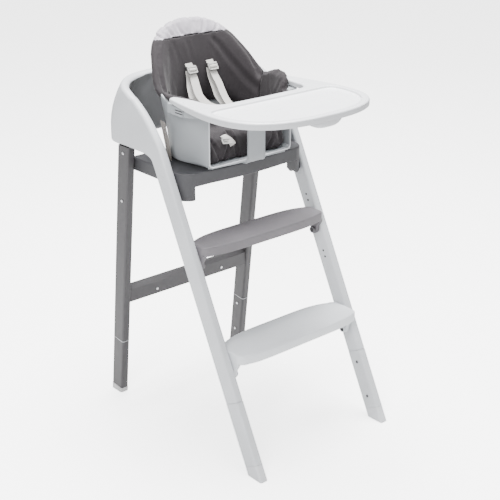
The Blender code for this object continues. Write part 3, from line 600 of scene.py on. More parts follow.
def slab(build, outline, low, high, round_top, round_low):
    """A board with rounded rims."""
    steps = [math.radians(a) for a in (0, 18, 36, 54, 72, 90)]
    rims = [(low, round_low, -1, a) for a in reversed(steps)]
    rims += [(high, round_top, 1, a) for a in steps]
    build.loft([[(p.x, p.y, face - up * radius * (1 - math.sin(a)))
                 for p in inset_loop(outline, radius * (1 - math.cos(a)))]
                for face, radius, up, a in rims])


def extrude_yz(build, outline, x0, x1, bevel):
    """A flat shape in YZ between two X positions, with rounded rims."""
    data = bmesh.new()
    verts = [data.verts.new((x0, y, z)) for y, z in outline]
    face = data.faces.new(verts)
    made = bmesh.ops.extrude_face_region(data, geom=[face])
    moved = [v for v in made["geom"] if isinstance(v, bmesh.types.BMVert)]
    bmesh.ops.translate(data, vec=(x1 - x0, 0, 0), verts=moved)
    bmesh.ops.recalc_face_normals(data, faces=data.faces)
    rims = [e for e in data.edges if abs(e.verts[0].co.x - e.verts[1].co.x) < 1e-6]
    bmesh.ops.bevel(data, geom=rims, offset=bevel, segments=3, profile=0.5, affect='EDGES')
    build.add(data)


def tapered_lug(build, side, bolt, top, wide):
    """The bracket below a board: wide at the board, narrow and round at the bolt."""
    y, z = bolt
    front = [(y - wide, top), (y - wide + 0.002, top - 0.01), (y - 0.0125, z + 0.012)]
    back = [(2 * y - py, pz) for py, pz in reversed(front)]
    outline = front + arc(bolt, 0.0115, 180, 360, 12) + back
    extrude_yz(build, outline, side * INNER_HALF, side * (INNER_HALF - 0.012), 0.0015)
    build.cylinder((side * (INNER_HALF - 0.01), y, z), (side * (INNER_HALF - LUG_DEEP), y, z),
                   0.009, 32, 0.001)


def bores(name, bolt, deep, radius, body):
    """Dark discs of painted shade at the mouths of the two bores that the socket bolts of a board sit
    in.
    """
    for tag, side in SIDES:
        build = Build()
        build.loft([[(side * (INNER_HALF - deep - depth), y, z)
                     for y, z in arc(bolt, radius * share, 0, 360, 28)[:-1]]
                    for share, depth in ((1.0, 0.0004), (0.93, 0.0005), (0.9, -0.0005))])
        build.make(name + tag, SHADE_BLACK, body)


def bowed(front, back, corner):
    """Outline of a board; front and back are its (middle, end, power), anticlockwise."""
    reach = INNER_HALF - corner

    def edge(shape, x):
        middle, end, power = shape
        return middle + (end - middle) * (abs(x) / INNER_HALF)**power

    xs = np.linspace(-reach, reach, 29)
    low = [(x, edge(front, x)) for x in xs]
    high = [(x, edge(back, x)) for x in reversed(xs)]
    right = arc((reach, low[-1][1] + corner), corner, -80, 0, 7)
    right += arc((reach, high[0][1] - corner), corner, 0, 80, 7)
    left = [(-x, y) for x, y in reversed(right)]
    return low + right + high + left


def make_board(name, look, body, node, outline, low, high, height, wide):
    """A board on two tapered lugs; height is that of its bolts."""
    build = Build()
    slab(build, outline, low, high, 0.004, 0.003)
    bolt = (front_leg_y(height, HOLE_BEHIND), height)
    for _, side in SIDES:
        tapered_lug(build, side, bolt, low + 0.003, wide)
    build.make(name, look, body, (node,))
    bores(node.replace("lower_", "") + "_bore_", bolt, LUG_DEEP, 0.0062, body)


def make_boards():
    make_board("footrest_board", FOOTREST, "footrest", "footrest",
               bowed((-0.099, -0.08, 4.5), (-0.001, -0.03, 5.0), 0.018),
               FOOTREST_LOW, FOOTREST_TOP, FOOTREST_BOLT, 0.024)
    make_board("lower_step_board", STEP, "frame", "lower_step",
               bowed((-0.234, -0.214, 7.0), (-0.108, -0.142, 4.6), 0.022),
               STEP_LOW, STEP_TOP, STEP_BOLT, 0.026)


def plate_outline():
    """Outline of the seat plate: bowed front, large front corners, straight rear."""
    rear = 0.008
    half = [(x, 0.5 * x * x - 0.018) for x in np.linspace(0, 0.12, 9)]
    half += arc((INNER_HALF - PLATE_CORNER, PLATE_CORNER_Y), PLATE_CORNER, 278, 360, 12)
    half += [(INNER_HALF, y) for y in (0.045, 0.08, 0.12, 0.16)]
    half += arc((INNER_HALF - rear, PLATE_REAR - rear), rear, 0, 90, 5)
    half += [(x, PLATE_REAR) for x in np.linspace(0.15, 0, 5)]
    return half + [(-x, y) for x, y in reversed(half[1:-1])]


def make_plate():
    """The seat plate with a deep lug at each front corner."""
    build = Build()
    slab(build, plate_outline(), PLATE_LOW, PLATE_TOP, 0.0035, 0.003)
    y, z = bolt = (front_leg_y(PLATE_BOLT, HOLE_BEHIND), PLATE_BOLT)
    lug = arc((INNER_HALF - PLATE_CORNER, PLATE_CORNER_Y), PLATE_CORNER, 284, 352, 9)
    lug += [(INNER_HALF, 0.0395), (0.1815, 0.0395)]
    for _, side in SIDES:
        outline = lug if side > 0 else [(-x, y) for x, y in reversed(lug)]
        slab(build, outline, 0.649, PLATE_LOW + 0.006, 0.001, 0.0045)
        build.cylinder((side * INNER_HALF, y, z), (side * (INNER_HALF - PLATE_LUG_DEEP), y, z),
                       0.014, 40, 0.0015)
    build.make("seat_plate_board", PLATE, "seat_plate", ("seat_plate",))
    bores("plate_bore_", bolt, PLATE_LUG_DEEP, 0.0075, "seat_plate")


# ---------------------------------------------------------------- tub
BASE_HALF = [(0.1375, -0.02), (0.139, -0.01), (0.1415, 0.018), (0.1455, 0.05),
             (0.149, 0.078), (0.149, 0.104), (0.143, 0.128), (0.125, 0.158), (0.1, 0.175),
             (0.082, 0.183), (0.046, 0.19), (0.0, 0.192)]
RIM_HALF = [(0.138, -0.0205, 0.868), (0.141, -0.011, 0.869), (0.15, 0.018, 0.872),
            (0.16, 0.05, 0.8745), (0.166, 0.08, 0.879), (0.172, 0.108, 0.89),
            (0.173, 0.134, 0.909), (0.152, 0.18, 0.964), (0.127, 0.213, 1.003),
            (0.108, 0.228, 1.02), (0.07, 0.244, 1.037), (0.0, 0.254, 1.045)]
WALL_BASE = 0.74             # the wall stands on a round edge from here down
ROUND_HEIGHT = 0.012
WINDOW_HALF = 0.1375
WINDOW_CORNER = 0.01
SILL_TOP = 0.73
TUB_CENTRE = (0, 0.07, 0)


def tub_columns(step=0.006):
    """Base and rim points of the tub from its front left corner round the back."""
    half = [(*b, *r) for b, r in zip(BASE_HALF, RIM_HALF)]
    mirrored = [np.multiply(row, (-1, 1, -1, 1, 1)) for row in reversed(half[:-1])]
    return hermite(half + mirrored, step)


def tub_surface(columns, rises):
    """Points of the tub's outer wall for each column, at these rises (0 base, 1 rim)."""
    base = np.insert(columns[:, :2], 2, WALL_BASE, axis=1)[:, None]
    rim = columns[:, None, 2:]
    middle = base + (rim - base) * (0.3, 0.0, 0.52)
    t = np.asarray(rises)[None, :, None]
    return (1 - t)**2 * base + 2 * t * (1 - t) * middle + t * t * rim


def tub_section(column, normals, rises):
    """A closed section through the wall: round base, lip below the rim, inside, floor."""
    wall = 0.004
    round_depth = 0.0085 - 0.006 * soft(column[0][1], 0.0, 0.07)
    down = np.array([0, 0, -1])
    base = [column[0] + normals[0] * round_depth * (1 - math.cos(t))
            + down * ROUND_HEIGHT * math.sin(t) for t in np.radians((90, 68, 45, 22))]
    height = length_of(column)
    s = np.concatenate([np.linspace(0, height - 0.016, 20),
                        height - np.array([0.012, 0.01, 0.008, 0.005, 0.002, 0.0006, 0])])
    points = along(column, s)
    normals = blend(s / height, rises, normals)
    lip = np.array([0.0028 * soft(v, height - 0.014, height - 0.008) for v in s])
    top = quarter(height - s, 0.003)
    outside = points - normals * (lip - top)[:, None]
    inside = points + normals * (wall - top * 0.6)[:, None]
    floor = [column[0] + normals[0] * wall,
             column[0] + normals[0] * (round_depth + 0.004) + down * (ROUND_HEIGHT - 0.003)]
    return base + list(outside) + list(inside[::-1]) + floor


def make_tub():
    """The plastic seat: wall, floor, front opening, ledges for the tray and crotch post."""
    rises = np.linspace(0, 1, 26)
    grid = tub_surface(tub_columns(), rises)
    flat = level(grid_normals(grid, TUB_CENTRE))
    build = Build()
    build.loft([tub_section(column, normals, rises) for column, normals in zip(grid, flat)])
    # the floor of the tub and the narrower foot below it
    for inset, low, high in ((0.0075, 0.7275, 0.7315), (0.016, SHELL_BASE + 0.0002, 0.728)):
        rim = grid[::3, 0] + flat[::3, 0] * inset
        build.loft([[(x, y, z) for x, y, _ in rim] for z in (low, high)])
    make_window(build)
    make_lip()
    for _, side in SIDES:
        make_ledge(build, side)
    make_post(build)
    build.make("tub", SHELL, "baby_seat", ("seat_shell",))


def make_window(build):
    """The bowed sill, the round lower corners and the top bar of the front opening."""
    half, back = 0.1335, -0.012
    sill = [(x, -0.028 + 0.011 * (x / 0.13) ** 2) for x in np.linspace(-half, half, 31)]
    slab(build, sill + [(half, back), (-half, back)], 0.7262, SILL_TOP, 0.0012, 0.001)
    build.box((-0.137, -0.0215, 0.861), (0.137, -0.0165, 0.869), 0.0018)
    for _, side in SIDES:
        middle = (side * (WINDOW_HALF - WINDOW_CORNER), SILL_TOP - 0.0005 + WINDOW_CORNER)
        web = arc(middle, WINDOW_CORNER, -90, -90 + side * 90, 7)
        web.append((side * (WINDOW_HALF + 0.001), SILL_TOP - 0.002))
        build.loft([[(x, y, z) for x, z in web] for y in (-0.02, -0.0165)])


def make_lip():
    """The raised rim round the front opening; its foot follows the bowed sill. Its lighter plastic is
    a painted highlight along the moulded edge.
    """
    half, low, high, radius = WINDOW_HALF - 0.0008, SILL_TOP + 0.0004, 0.86, 0.0115
    x, bottom, top = half - radius, low + radius, high - radius
    points = []
    for centre, start in (((x, bottom), -90), ((x, top), 0), ((-x, top), 90),
                          ((-x, bottom), 180)):
        points += arc(centre, radius, start, start + 90, 8)
    path = [(x, -0.0212 - 0.006 * soft(0.745 - z, 0.0, 0.014) * (1 - (x / half)**2), z)
            for x, z in points]
    build = Build()
    tube(build, path, 0.0016, 10, closed=True)
    # the lip is drawn in the hoop's lighter plastic as a painted highlight
    build.make("window_lip", HOOP, "baby_seat")


def make_post(build):
    """The crotch post: a bent strip in front of the opening, with raised edges."""
    path = [(-0.018, 0.7238), (-0.029, 0.7242), (-0.037, 0.7262), (-0.0412, 0.731),
            (-0.0428, 0.738), (-0.043, 0.76), (-0.043, 0.8), (-0.0428, 0.84),
            (-0.042, 0.858), (-0.039, 0.866), (-0.03, 0.8705), (-0.018, 0.8715)]
    path = hermite([(0, y, z) for y, z in path], 0.004)
    section = mirror_outline([(-0.029, 0.0005), (-0.028, -0.0012), (-0.0262, -0.0014),
                              (-0.025, -0.0002), (-0.0235, 0.0), (0.0, 0.0)])
    section += [(0.0286, 0.004), (0.0, 0.004), (-0.0286, 0.004)]
    loops = []
    for point, tangent in zip(path, np.gradient(path, axis=0)):
        out = Vector((0, tangent[2], -tangent[1])).normalized()
        if out.y > 0 or (abs(out.y) < 1e-6 and out.z < 0):
            out = -out
        flare = 1 + 0.04 * soft(0.742 - point[2], 0.0, 0.018)
        loops.append([Vector(point) - out * depth + Vector((x * flare, 0, 0))
                      for x, depth in section])
    build.loft(loops)


def make_ledge(build, side):
    """The ledge along the outside of the tub that carries the tray's arm."""
    outline = [(0.14, -0.012), (0.15, 0.018), (0.16, 0.05), (0.1655, 0.082),
               (0.176, 0.09), (0.1835, 0.086), (0.184, 0.07), (0.184, 0.045), (0.184, 0.02),
               (0.176, -0.002), (0.154, -0.011)]
    ring = hermite([(x, y, 0) for x, y in outline], 0.006, closed=True)
    slab(build, [(side * x, y) for x, y, _ in ring], 0.861, TRAY_LOW - 0.0013, 0.002, 0.003)


# ---------------------------------------------------------------- tray
TRAY_HALF = 0.2245
TRAY_FRONT = -0.305
WIDEST = -0.13
ARM_REAR = 0.067
ARM_TAPER = 0.0275           # how much narrower the tray is ARM_TAPER_RUN behind WIDEST
ARM_TAPER_RUN = 0.18
ARM_TIP = 0.011
CUT_HALF = 0.1585
CUT_FRONT = -0.07
CUT_CORNER = 0.044
SQUARENESS = 0.75            # power of the nose's super-ellipse: 1 is an ellipse
RECESS_EDGE = 0.018
RECESS_BACK = -0.098
RECESS_CORNER = 0.03


def nose(half, reach, angles):
    """Points of a super-ellipse from the tray's widest line forwards to its middle."""
    points = []
    for angle in angles:
        turn = math.radians(angle)
        points.append((half * math.cos(turn) ** SQUARENESS,
                       WIDEST - reach * math.sin(turn) ** SQUARENESS))
    return points


def tray_outline(inset=0.0):
    """Outer edge of the tray from one arm to the other, then round the child's space."""
    half = TRAY_HALF - inset

    def edge(y):
        return half - ARM_TAPER * ((y - WIDEST) / ARM_TAPER_RUN) ** 1.4

    low = ARM_REAR - inset - ARM_TIP
    right = arc((edge(low) - ARM_TIP, low), ARM_TIP, 84, 4, 5)
    right += [(edge(y), y) for y in np.arange(0.04, WIDEST + 0.012, -0.02)]
    right += nose(half, WIDEST - TRAY_FRONT - inset,
                  (0, 1, 3, 6, 10, 15, 20, 26, 32, 39, 46, 53, 60, 67, 73, 78, 82, 86))
    right.append((0.0, TRAY_FRONT + inset))
    cut = CUT_HALF + inset
    inner = [(-cut - 0.0165, ARM_REAR - inset), (-cut - 0.0142, ARM_REAR - inset - 0.005),
             (-cut - 0.0115, 0.05), (-cut - 0.006, 0.03), (-cut - 0.0025, 0.01),
             (-cut - 0.0005, -0.01)]
    inner += [(-x, y) for x, y in
              arc((cut - CUT_CORNER, CUT_FRONT - inset + CUT_CORNER), CUT_CORNER, 0, -90, 9)]
    for share in (0.75, 0.5, 0.25):
        inner.append((-(cut - CUT_CORNER) * share, CUT_FRONT - inset - 0.003 * (1 - share)))
    inner.append((0.0, CUT_FRONT - inset - 0.003))
    return mirror_outline(right) + mirror_outline(inner)


def recess_outline():
    """Upper edge of the shallow recess in the tray."""
    half = TRAY_HALF - RECESS_EDGE
    right = arc((half - RECESS_CORNER, RECESS_BACK - RECESS_CORNER), RECESS_CORNER, 90, 0, 10)
    right += nose(half, WIDEST - TRAY_FRONT - RECESS_EDGE,
                  (2, 5, 9, 14, 20, 26, 33, 40, 48, 56, 64, 71, 77, 82, 86))
    right.append((0.0, TRAY_FRONT + RECESS_EDGE))
    return mirror_outline(right) + [(x, RECESS_BACK) for x in (-0.12, -0.06, 0.0, 0.06, 0.12)]


def skirt_low(y):
    """Height of the skirt's lower edge: shallower along the arms."""
    return TRAY_LOW + 0.005 * soft(y, -0.085, 0.075)


def make_tray():
    """The tray: skirt, rounded edge, flat rim and a shallow recess."""
    build = Build()
    edge = 0.0055
    rows = [[(x, y, z(y) if callable(z) else z) for x, y in tray_outline(inset)]
            for inset, z in ((0.0042, TRAY_TOP - 0.0085),
                             (0.003, lambda y: skirt_low(y) + 0.0006), (0.0012, skirt_low),
                             (0.0, lambda y: skirt_low(y) + 0.0012))]
    for turn in np.radians((0, 15, 30, 45, 60, 75, 90)):
        rows.append([(x, y, TRAY_TOP - edge * (1 - math.sin(turn)))
                     for x, y in tray_outline(edge * (1 - math.cos(turn)) * 1.15)])
    rows = [build.loop(points) for points in rows]
    dish = recess_outline()
    profile = ((-0.003, 0.0), (-0.0014, 0.0003), (-0.0002, 0.001), (0.0008, 0.0024),
               (0.0016, 0.0042), (0.0027, 0.0054), (0.0044, 0.006), (0.007, 0.0062))
    rings = [build.loop([(p.x, p.y, TRAY_TOP - drop) for p in inset_loop(dish, amount)])
             for amount, drop in profile]
    for band in (rows, rings):
        for a, b in zip(band, band[1:]):
            build.bridge(a, b)
    build.faces.append(tuple(rings[-1]))
    for border in ((rows[-1], rings[0]), (rows[0],)):
        order = [i for row in border for i in row]
        polygons = [[build.verts[i] for i in row] for row in border]
        build.faces += [tuple(order[i] for i in tri) for tri in tessellate_polygon(polygons)]
    build.make("tray_top", TRAY, "tray", ("tray",), 50)


def squarish(half, depth, powers, count):
    """Points of a rounded rectangle round the origin, as a super-ellipse."""
    turns = [(math.cos(a), math.sin(a)) for a in np.linspace(0, 2 * math.pi, count, False)]
    return [(math.copysign(abs(c)**powers[0], c) * half,
             math.copysign(abs(s)**powers[1], s) * depth) for c, s in turns]


def make_handle():
    """The lobe below the tray's front edge: wide at the skirt, narrow below."""
    build = Build()
    low, high, wide = TRAY_LOW - 0.0165, TRAY_LOW - 0.0002, 0.058
    loops = []
    for t in np.linspace(0, 1, 15):
        front = TRAY_FRONT + 0.001 + 0.004 * t**3
        depth = (0.036 - 0.014 * t**2) / 2
        shrink = float(quarter((1 - t) * (high - low), 0.006))
        ring = squarish(0.054 - 0.029 * t**1.7 - shrink, depth - shrink, (0.55, 0.7), 48)
        loops.append([(x, front + depth + y + 0.005 * (x / wide)**2, high - (high - low) * t)
                      for x, y in ring])
    build.loft(loops)
    build.make("release_handle", TRAY, "tray_handle", ("tray_handle",), 60)


def make_latches():
    """Plates outside the ledges, each with two slots drawn as dark boxes of painted shade."""
    for tag, side in SIDES:
        body = "tray_latch_" + tag
        for name, look, faces, rear, heights, bevel, replaces, slot in (
                ("latch_plate_", SHELL, (0.1843, 0.1878), 0.064, ((0.8615, 0.885),), 0.0014,
                 (body,), "light_plastic"),
                # the slots are dark boxes of painted shade
                ("latch_slots_", SHADE_BLACK, (0.186, 0.1881), 0.049,
                 ((0.8673, 0.8707), (0.8738, 0.8772)), 0.0009, (), None)):
            build = Build()
            x0, x1 = sorted(side * x for x in faces)
            for low, high in heights:
                build.box((x0, 0.02, low), (x1, rear, high), bevel)
            build.make(name + tag, look, body, replaces)


# ---------------------------------------------------------------- soft goods
def simulate(made, pressure, cap, voxel):
    """Puffs a closed soft piece with cloth pressure, moving no point further than cap."""
    remesh = made.modifiers.new("remesh", 'REMESH')
    remesh.mode = 'VOXEL'
    remesh.voxel_size = voxel
    bake(made)
    rest = np.array([v.co for v in made.data.vertices])
    sim = made.modifiers.new("cloth", 'CLOTH')
    for name, value in (("quality", 4), ("mass", 0.15), ("tension_stiffness", 12),
                        ("compression_stiffness", 12), ("shear_stiffness", 4),
                        ("bending_stiffness", 0.4), ("use_pressure", True),
                        ("uniform_pressure_force", pressure)):
        setattr(sim.settings, name, value)
    sim.settings.effector_weights.gravity = 0
    sim.collision_settings.use_collision = False
    sim.collision_settings.use_self_collision = False
    for number in range(1, 21):
        bpy.context.scene.frame_set(number)
    graph = bpy.context.evaluated_depsgraph_get()
    moved = np.array([v.co for v in made.evaluated_get(graph).data.vertices])
    made.modifiers.remove(sim)
    bpy.context.scene.frame_set(1)
    shift = moved - rest
    far = np.linalg.norm(shift, axis=1, keepdims=True)
    place_points(made.data, rest + shift * np.minimum(1, cap / np.maximum(far, 1e-9)))


def place_points(mesh, points):
    mesh.vertices.foreach_set("co", points.astype(np.float32).ravel())
    mesh.update()


def bake(made):
    """Applies the modifiers of an object to its mesh."""
    graph = bpy.context.evaluated_depsgraph_get()
    mesh = bpy.data.meshes.new_from_object(made.evaluated_get(graph))
    made.modifiers.clear()
    made.data = mesh


def crease(made, amount):
    """Moves each point along its normal by amount(point, normal) metres."""
    vertices = made.data.vertices
    shift = np.array([amount(v.co, v.normal) * np.array(v.normal) for v in vertices])
    place_points(made.data, np.array([v.co for v in vertices]) + shift)


def finish_soft(made, look, creases, node):
    """Smooths a padded piece, creases it and lets it stand for its CAD node."""
    made.data.materials.clear()
    made.data.materials.append(look)
    made.data.shade_smooth()
    made.modifiers.new("fine", 'SUBSURF').levels = 1
    bake(made)
    made.data.shade_smooth()
    crease(made, creases)
    adopt(made, "baby_seat", (node,))


def pad(name, grid, depth):
    """A closed pad between a grid of points and the same grid moved by depth."""
    rows, cols = grid.shape[:2]
    build = Build()
    to_end = np.minimum(np.arange(rows), np.arange(rows)[::-1])[:, None]
    to_side = np.minimum(np.arange(cols), np.arange(cols)[::-1])[None, :]
    nearest = np.minimum(to_end, to_side)
    taper = np.where(nearest == 0, 0.35, np.where(nearest == 1, 0.8, 1.0))[..., None]
    outer = [build.loop(r) for r in grid]
    inner = [build.loop(r) for r in grid + depth * taper]
    for sheet in (outer, inner):
        for a, b in zip(sheet, sheet[1:]):
            build.bridge(a, b, False)
    for end in (0, -1):
        build.bridge(outer[end], inner[end], False)
        build.bridge([r[end] for r in outer], [r[end] for r in inner], False)
    return new_object(name, build.mesh(name))


def split_by_height(made, name, height, keep_above):
    """A copy of the mesh cut level at a height and closed."""
    data = bmesh.new()
    data.from_mesh(made.data)
    geometry = data.verts[:] + data.edges[:] + data.faces[:]
    bmesh.ops.bisect_plane(data, geom=geometry, plane_co=(0, 0, height), plane_no=(0, 0, 1),
                           clear_inner=keep_above, clear_outer=not keep_above)
    rim = [e for e in data.edges if e.is_boundary]
    lids = bmesh.ops.holes_fill(data, edges=rim)["faces"]
    bmesh.ops.triangulate(data, faces=lids)
    mesh = bpy.data.meshes.new(name)
    data.to_mesh(mesh)
    data.free()
    return new_object(name, mesh)


PANEL_SEAM = 1.0125
COVER_THICK = 0.011
HEM_THICK = 0.0022


def cover_section(column, flat):
    """Path of the back cover: from its hem outside over the rim and down inside."""
    total = length_of(column)
    top = column[-1]
    hem = total - 0.01 - 0.046 * soft(top[1], 0.128, 0.185)
    outside = [along(column, [s])[0] - flat[-1] * (0.0042 if s > hem + 0.003 else 0.003)
               for s in np.linspace(hem, total, 12)]
    over = [top + flat[-1] * (0.002 - 0.0064 * math.cos(turn))
            + np.array([0, 0, 0.0062 * math.sin(turn)])
            for turn in np.radians(np.linspace(20, 160, 6))]
    inside = [along(column, [s])[0] + flat[int(round(s / total * (len(flat) - 1)))] * 0.0066
              for s in np.linspace(total - 0.002, 0.0, 30)]
    return outside + over + inside


def make_cover():
    """The padded cover of the back in one piece, before it is cut at the panel's seam."""
    columns = tub_columns(0.008)
    start = int(np.argmax(columns[:, 3] > 0.113))
    surface = tub_surface(columns[start:len(columns) - start], np.linspace(0.3, 1.0, 60))
    flat = level(grid_normals(surface, TUB_CENTRE))
    grid = np.array([cover_section(*rows) for rows in zip(surface, flat)])
    normal = surface_normals(grid)
    row = len(grid) // 2
    middle = grid[row, -5]
    if normal[row, -5] @ (np.array([0, 0, middle[2]]) - middle) < 0:
        normal = -normal
    thick = np.array([HEM_THICK + (COVER_THICK - HEM_THICK) * soft(j, 13, 24)
                      for j in range(grid.shape[1])])
    made = pad("cover_blank", grid, normal * thick[:, None])
    simulate(made, 3.0, 0.005, 0.0048)
    return made


def fold(distance, width, depth):
    """A narrow valley with soft shoulders."""
    t = distance / width
    return -depth * math.exp(-t * t) + 0.45 * depth * math.exp(-((abs(t) - 1.7) ** 2) * 1.4)


def folds(p, lines, height, width):
    """Narrow valleys at (x at this height, lean, depth)."""
    return sum(fold(p.x - x + (p.z - height) * lean, width, depth) for x, lean, depth in lines)


def ripple(p, amount, scale, shift=(0, 0, 0)):
    return amount * noise.noise(Vector([c * s + d for c, s, d in zip(p, scale, shift)]))


def back_creases(p, n):
    """Soft folds of the dark cover: a long one on the child's left and drape at the straps."""
    if p.y > 0.16 and n.y > 0.2:
        return 0.0
    amount = 0.0
    if p.x > 0.03:
        line = (p.x - 0.088) * 0.86 + (p.z - 0.96) * 0.5
        reach = soft(p.z, 0.83, 0.88) * (1 - soft(p.z, 0.985, 1.005))
        amount += fold(line, 0.0085, 0.0024) * reach
    if p.x < -0.03:
        line = (p.x + 0.1) * 0.92 - (p.z - 0.93) * 0.3
        amount += fold(line, 0.01, 0.0012) * soft(p.z, 0.86, 0.9) * (1 - soft(p.z, 0.97, 1.0))
    drape = ((-0.062, 0.22, 0.0008), (-0.018, 0.1, 0.0008), (0.06, -0.2, 0.0008))
    amount += (folds(p, drape, 0.97, 0.007)
               * soft(p.z, 0.93, 0.97) * (1 - soft(p.z, 0.995, 1.01)))
    amount += ripple(p, 0.0013, (20, 20, 10)) + ripple(p, 0.0003, (60, 60, 34))
    return amount * (1 - 0.9 * soft(p.z, PANEL_SEAM - 0.016, PANEL_SEAM))


def head_creases(p, _):
    """Puckers that run up from the seam under the silver panel."""
    puckers = ((-0.098, 0.9, 0.0026), (-0.062, 0.5, 0.0034), (-0.028, 0.35, 0.0038),
               (0.004, -0.2, 0.003), (0.036, -0.5, 0.0034), (0.074, -0.9, 0.0024))
    lift = 1 - soft(p.z, PANEL_SEAM + 0.012, 1.055)
    amount = folds(p, puckers, PANEL_SEAM, 0.0058) * (0.35 + 0.65 * lift)
    amount += ripple(p, 0.002, (34, 20, 24), (5, 0, 0))
    amount += ripple(p, 0.0008, (90, 60, 60), (0, 0, 9))
    return amount * (0.15 + 0.85 * soft(p.z, PANEL_SEAM, PANEL_SEAM + 0.008))


def tube(build, points, radius, sides=8, closed=False):
    """A round cord through points."""
    points = [Vector(p) for p in points]
    last = len(points) - 1
    up = Vector((0.13, 0.27, 0.95))
    loops = []
    for i, point in enumerate(points):
        before = points[i - 1] if i or closed else point
        after = points[(i + 1) % len(points)] if i < last or closed else point
        a = (after - before).cross(up).normalized()
        b = (after - before).normalized().cross(a).normalized()
        loops.append([point + (a * math.cos(t) + b * math.sin(t)) * radius
                      for t in np.linspace(0, 2 * math.pi, sides, endpoint=False)])
    build.loft(loops, closed)


def make_covers():
    cover = make_cover()
    dark = split_by_height(cover, "back_cover", PANEL_SEAM - 0.0002, False)
    silver = split_by_height(cover, "head_cover", PANEL_SEAM + 0.0002, True)
    bpy.data.objects.remove(cover)
    finish_soft(dark, FABRIC, back_creases, "back_cushion")
    finish_soft(silver, SILVER, head_creases, "head_panel")


WING_TOPS = {
    1: ((-0.016, 0.878), (-0.004, 0.888), (0.001, 0.904), (0.009, 0.917), (0.026, 0.926),
        (0.061, 0.927), (0.084, 0.922), (0.104, 0.914), (0.124, 0.908)),
    -1: ((-0.016, 0.882), (0.006, 0.898), (0.029, 0.902), (0.069, 0.904), (0.106, 0.904),
         (0.124, 0.906)),
}


def make_wing(tag, side):
    """A side pad: it stands inside the tub and its top laps over the tub's rim."""
    columns = tub_columns()
    keep = (columns[:, 3] > -0.0175) & (columns[:, 3] < 0.125) & (columns[:, 2] > 0)
    depths, heights = zip(*WING_TOPS[side])
    lean = 0.22 if side > 0 else 0.1
    rows = []
    insets = []
    for column in columns[keep]:
        rim = column[2:]
        top = np.interp(rim[1], depths, heights)
        wall = tub_surface(column[None, :], np.linspace(0.58, 1.0, 16))[0]
        above = [rim + np.array([lean, 0, 1]) * rise
                 for rise in np.linspace(0, top - rim[2], 8)[1:]]
        line = np.vstack([wall, above])
        line = along(line, np.linspace(0, length_of(line), 22))
        rows.append(line)
        insets.append([0.0062 - 0.0056 * soft(p[2], rim[2] - 0.001, rim[2] + 0.006)
                       for p in line])
    grid = np.array(rows)
    insets = np.array(insets)[..., None]
    normals = grid_normals(grid, TUB_CENTRE) * (1, 1, 0.3)
    mirror = np.array([side, 1, 1])
    made = pad("wing_pad_" + tag, (grid + normals * insets) * mirror,
               normals * mirror * (0.0168 - insets))
    simulate(made, 4.0, 0.004, 0.0045)

    def wrinkles(p, _):
        amount = ripple(p, 0.0008, (30, 26, 30), (side * 7, 0, 0))
        for y, slant, depth in ((0.03, 0.5, 0.0007), (0.072, -0.4, 0.0008)):
            amount += fold(p.y - y + (p.z - 0.88) * slant, 0.006, depth)
        return amount

    finish_soft(made, FABRIC, wrinkles, "side_wing_" + tag)
    cords = Build()
    row = int(np.argmin(np.abs(grid[:, -1, 1] - 0.1135)))
    tube(cords, (grid[row] + normals[row] * 0.0186)[4:] * mirror, 0.0013)
    cords.make("wing_seams_" + tag, PIPING, "baby_seat")


def cushion_creases(p, n):
    """Puckers on the front face and slow waves everywhere."""
    amount = ripple(p, 0.002, (32, 20, 42))
    if n.y < -0.3:
        puckers = ((-0.104, 0.5, 0.0034), (-0.066, -0.4, 0.0036), (-0.04, 0.3, 0.003),
                   (0.045, 0.4, 0.0034), (0.082, -0.6, 0.0038), (0.108, 0.3, 0.003))
        amount += folds(p, puckers, 0.765, 0.006)
    return amount


def make_seat_cushion():
    """A stuffed seat pad with a rounded front that shows through the tub's opening."""
    half = [(0.0, -0.0135), (0.06, -0.0135), (0.112, -0.0135), (0.1245, -0.0125),
            (0.1305, -0.004)]
    half += [(x - 0.0055, y) for x, y in BASE_HALF[2:8]] + [(0.07, 0.165), (0.0, 0.17)]
    outline = half + [(-x, y) for x, y in reversed(half[1:-1])]
    ring = hermite([(x, y, 0) for x, y in outline], 0.007, closed=True)[:, :2]
    low, high = SHELL_BASE + 0.008, 0.801
    levels = ((low, 0.012), (low + 0.004, 0.005), (low + 0.012, 0.0025), (low + 0.03, 0.002),
              (high - 0.026, 0.003), (high - 0.012, 0.007), (high - 0.003, 0.016),
              (high, 0.028), (high + 0.0015, 0.05))
    build = Build()
    build.loft([[(p.x, p.y, z) for p in inset_loop(ring, inset)] for z, inset in levels])
    made = new_object("seat_pad", build.mesh("seat_pad"))
    simulate(made, 4.0, 0.005, 0.0055)
    finish_soft(made, FABRIC, cushion_creases, "seat_cushion")


# ---------------------------------------------------------------- harness and belts
def ribbon(build, points, width, thick, across):
    """A flat strap along a smooth path; across gives its flat direction at each point."""
    path = hermite(points, 0.004)
    a, b = width / 2, thick / 2
    edge = [(a * 0.5, b), (a * 0.96, b), (a, b / 2), (a, -b / 2), (a * 0.96, -b), (a * 0.5, -b)]
    section = edge + [(-x, y) for x, y in reversed(edge)]
    loops = []
    for i, (point, tangent) in enumerate(zip(path, np.gradient(path, axis=0))):
        side = Vector(across(i / (len(path) - 1)) if callable(across) else across)
        tangent = Vector(tangent).normalized()
        side = (side - tangent * side.dot(tangent)).normalized()
        up = tangent.cross(side)
        loops.append([Vector(point) + side * x + up * y for x, y in section])
    build.loft(loops)


def strap(name, look, body, path, size, across, replaces=(), angle=60):
    """One ribbon of (width, thickness) as a piece of its own."""
    build = Build()
    ribbon(build, path, *size, across)
    build.make(name, look, body, replaces, angle)


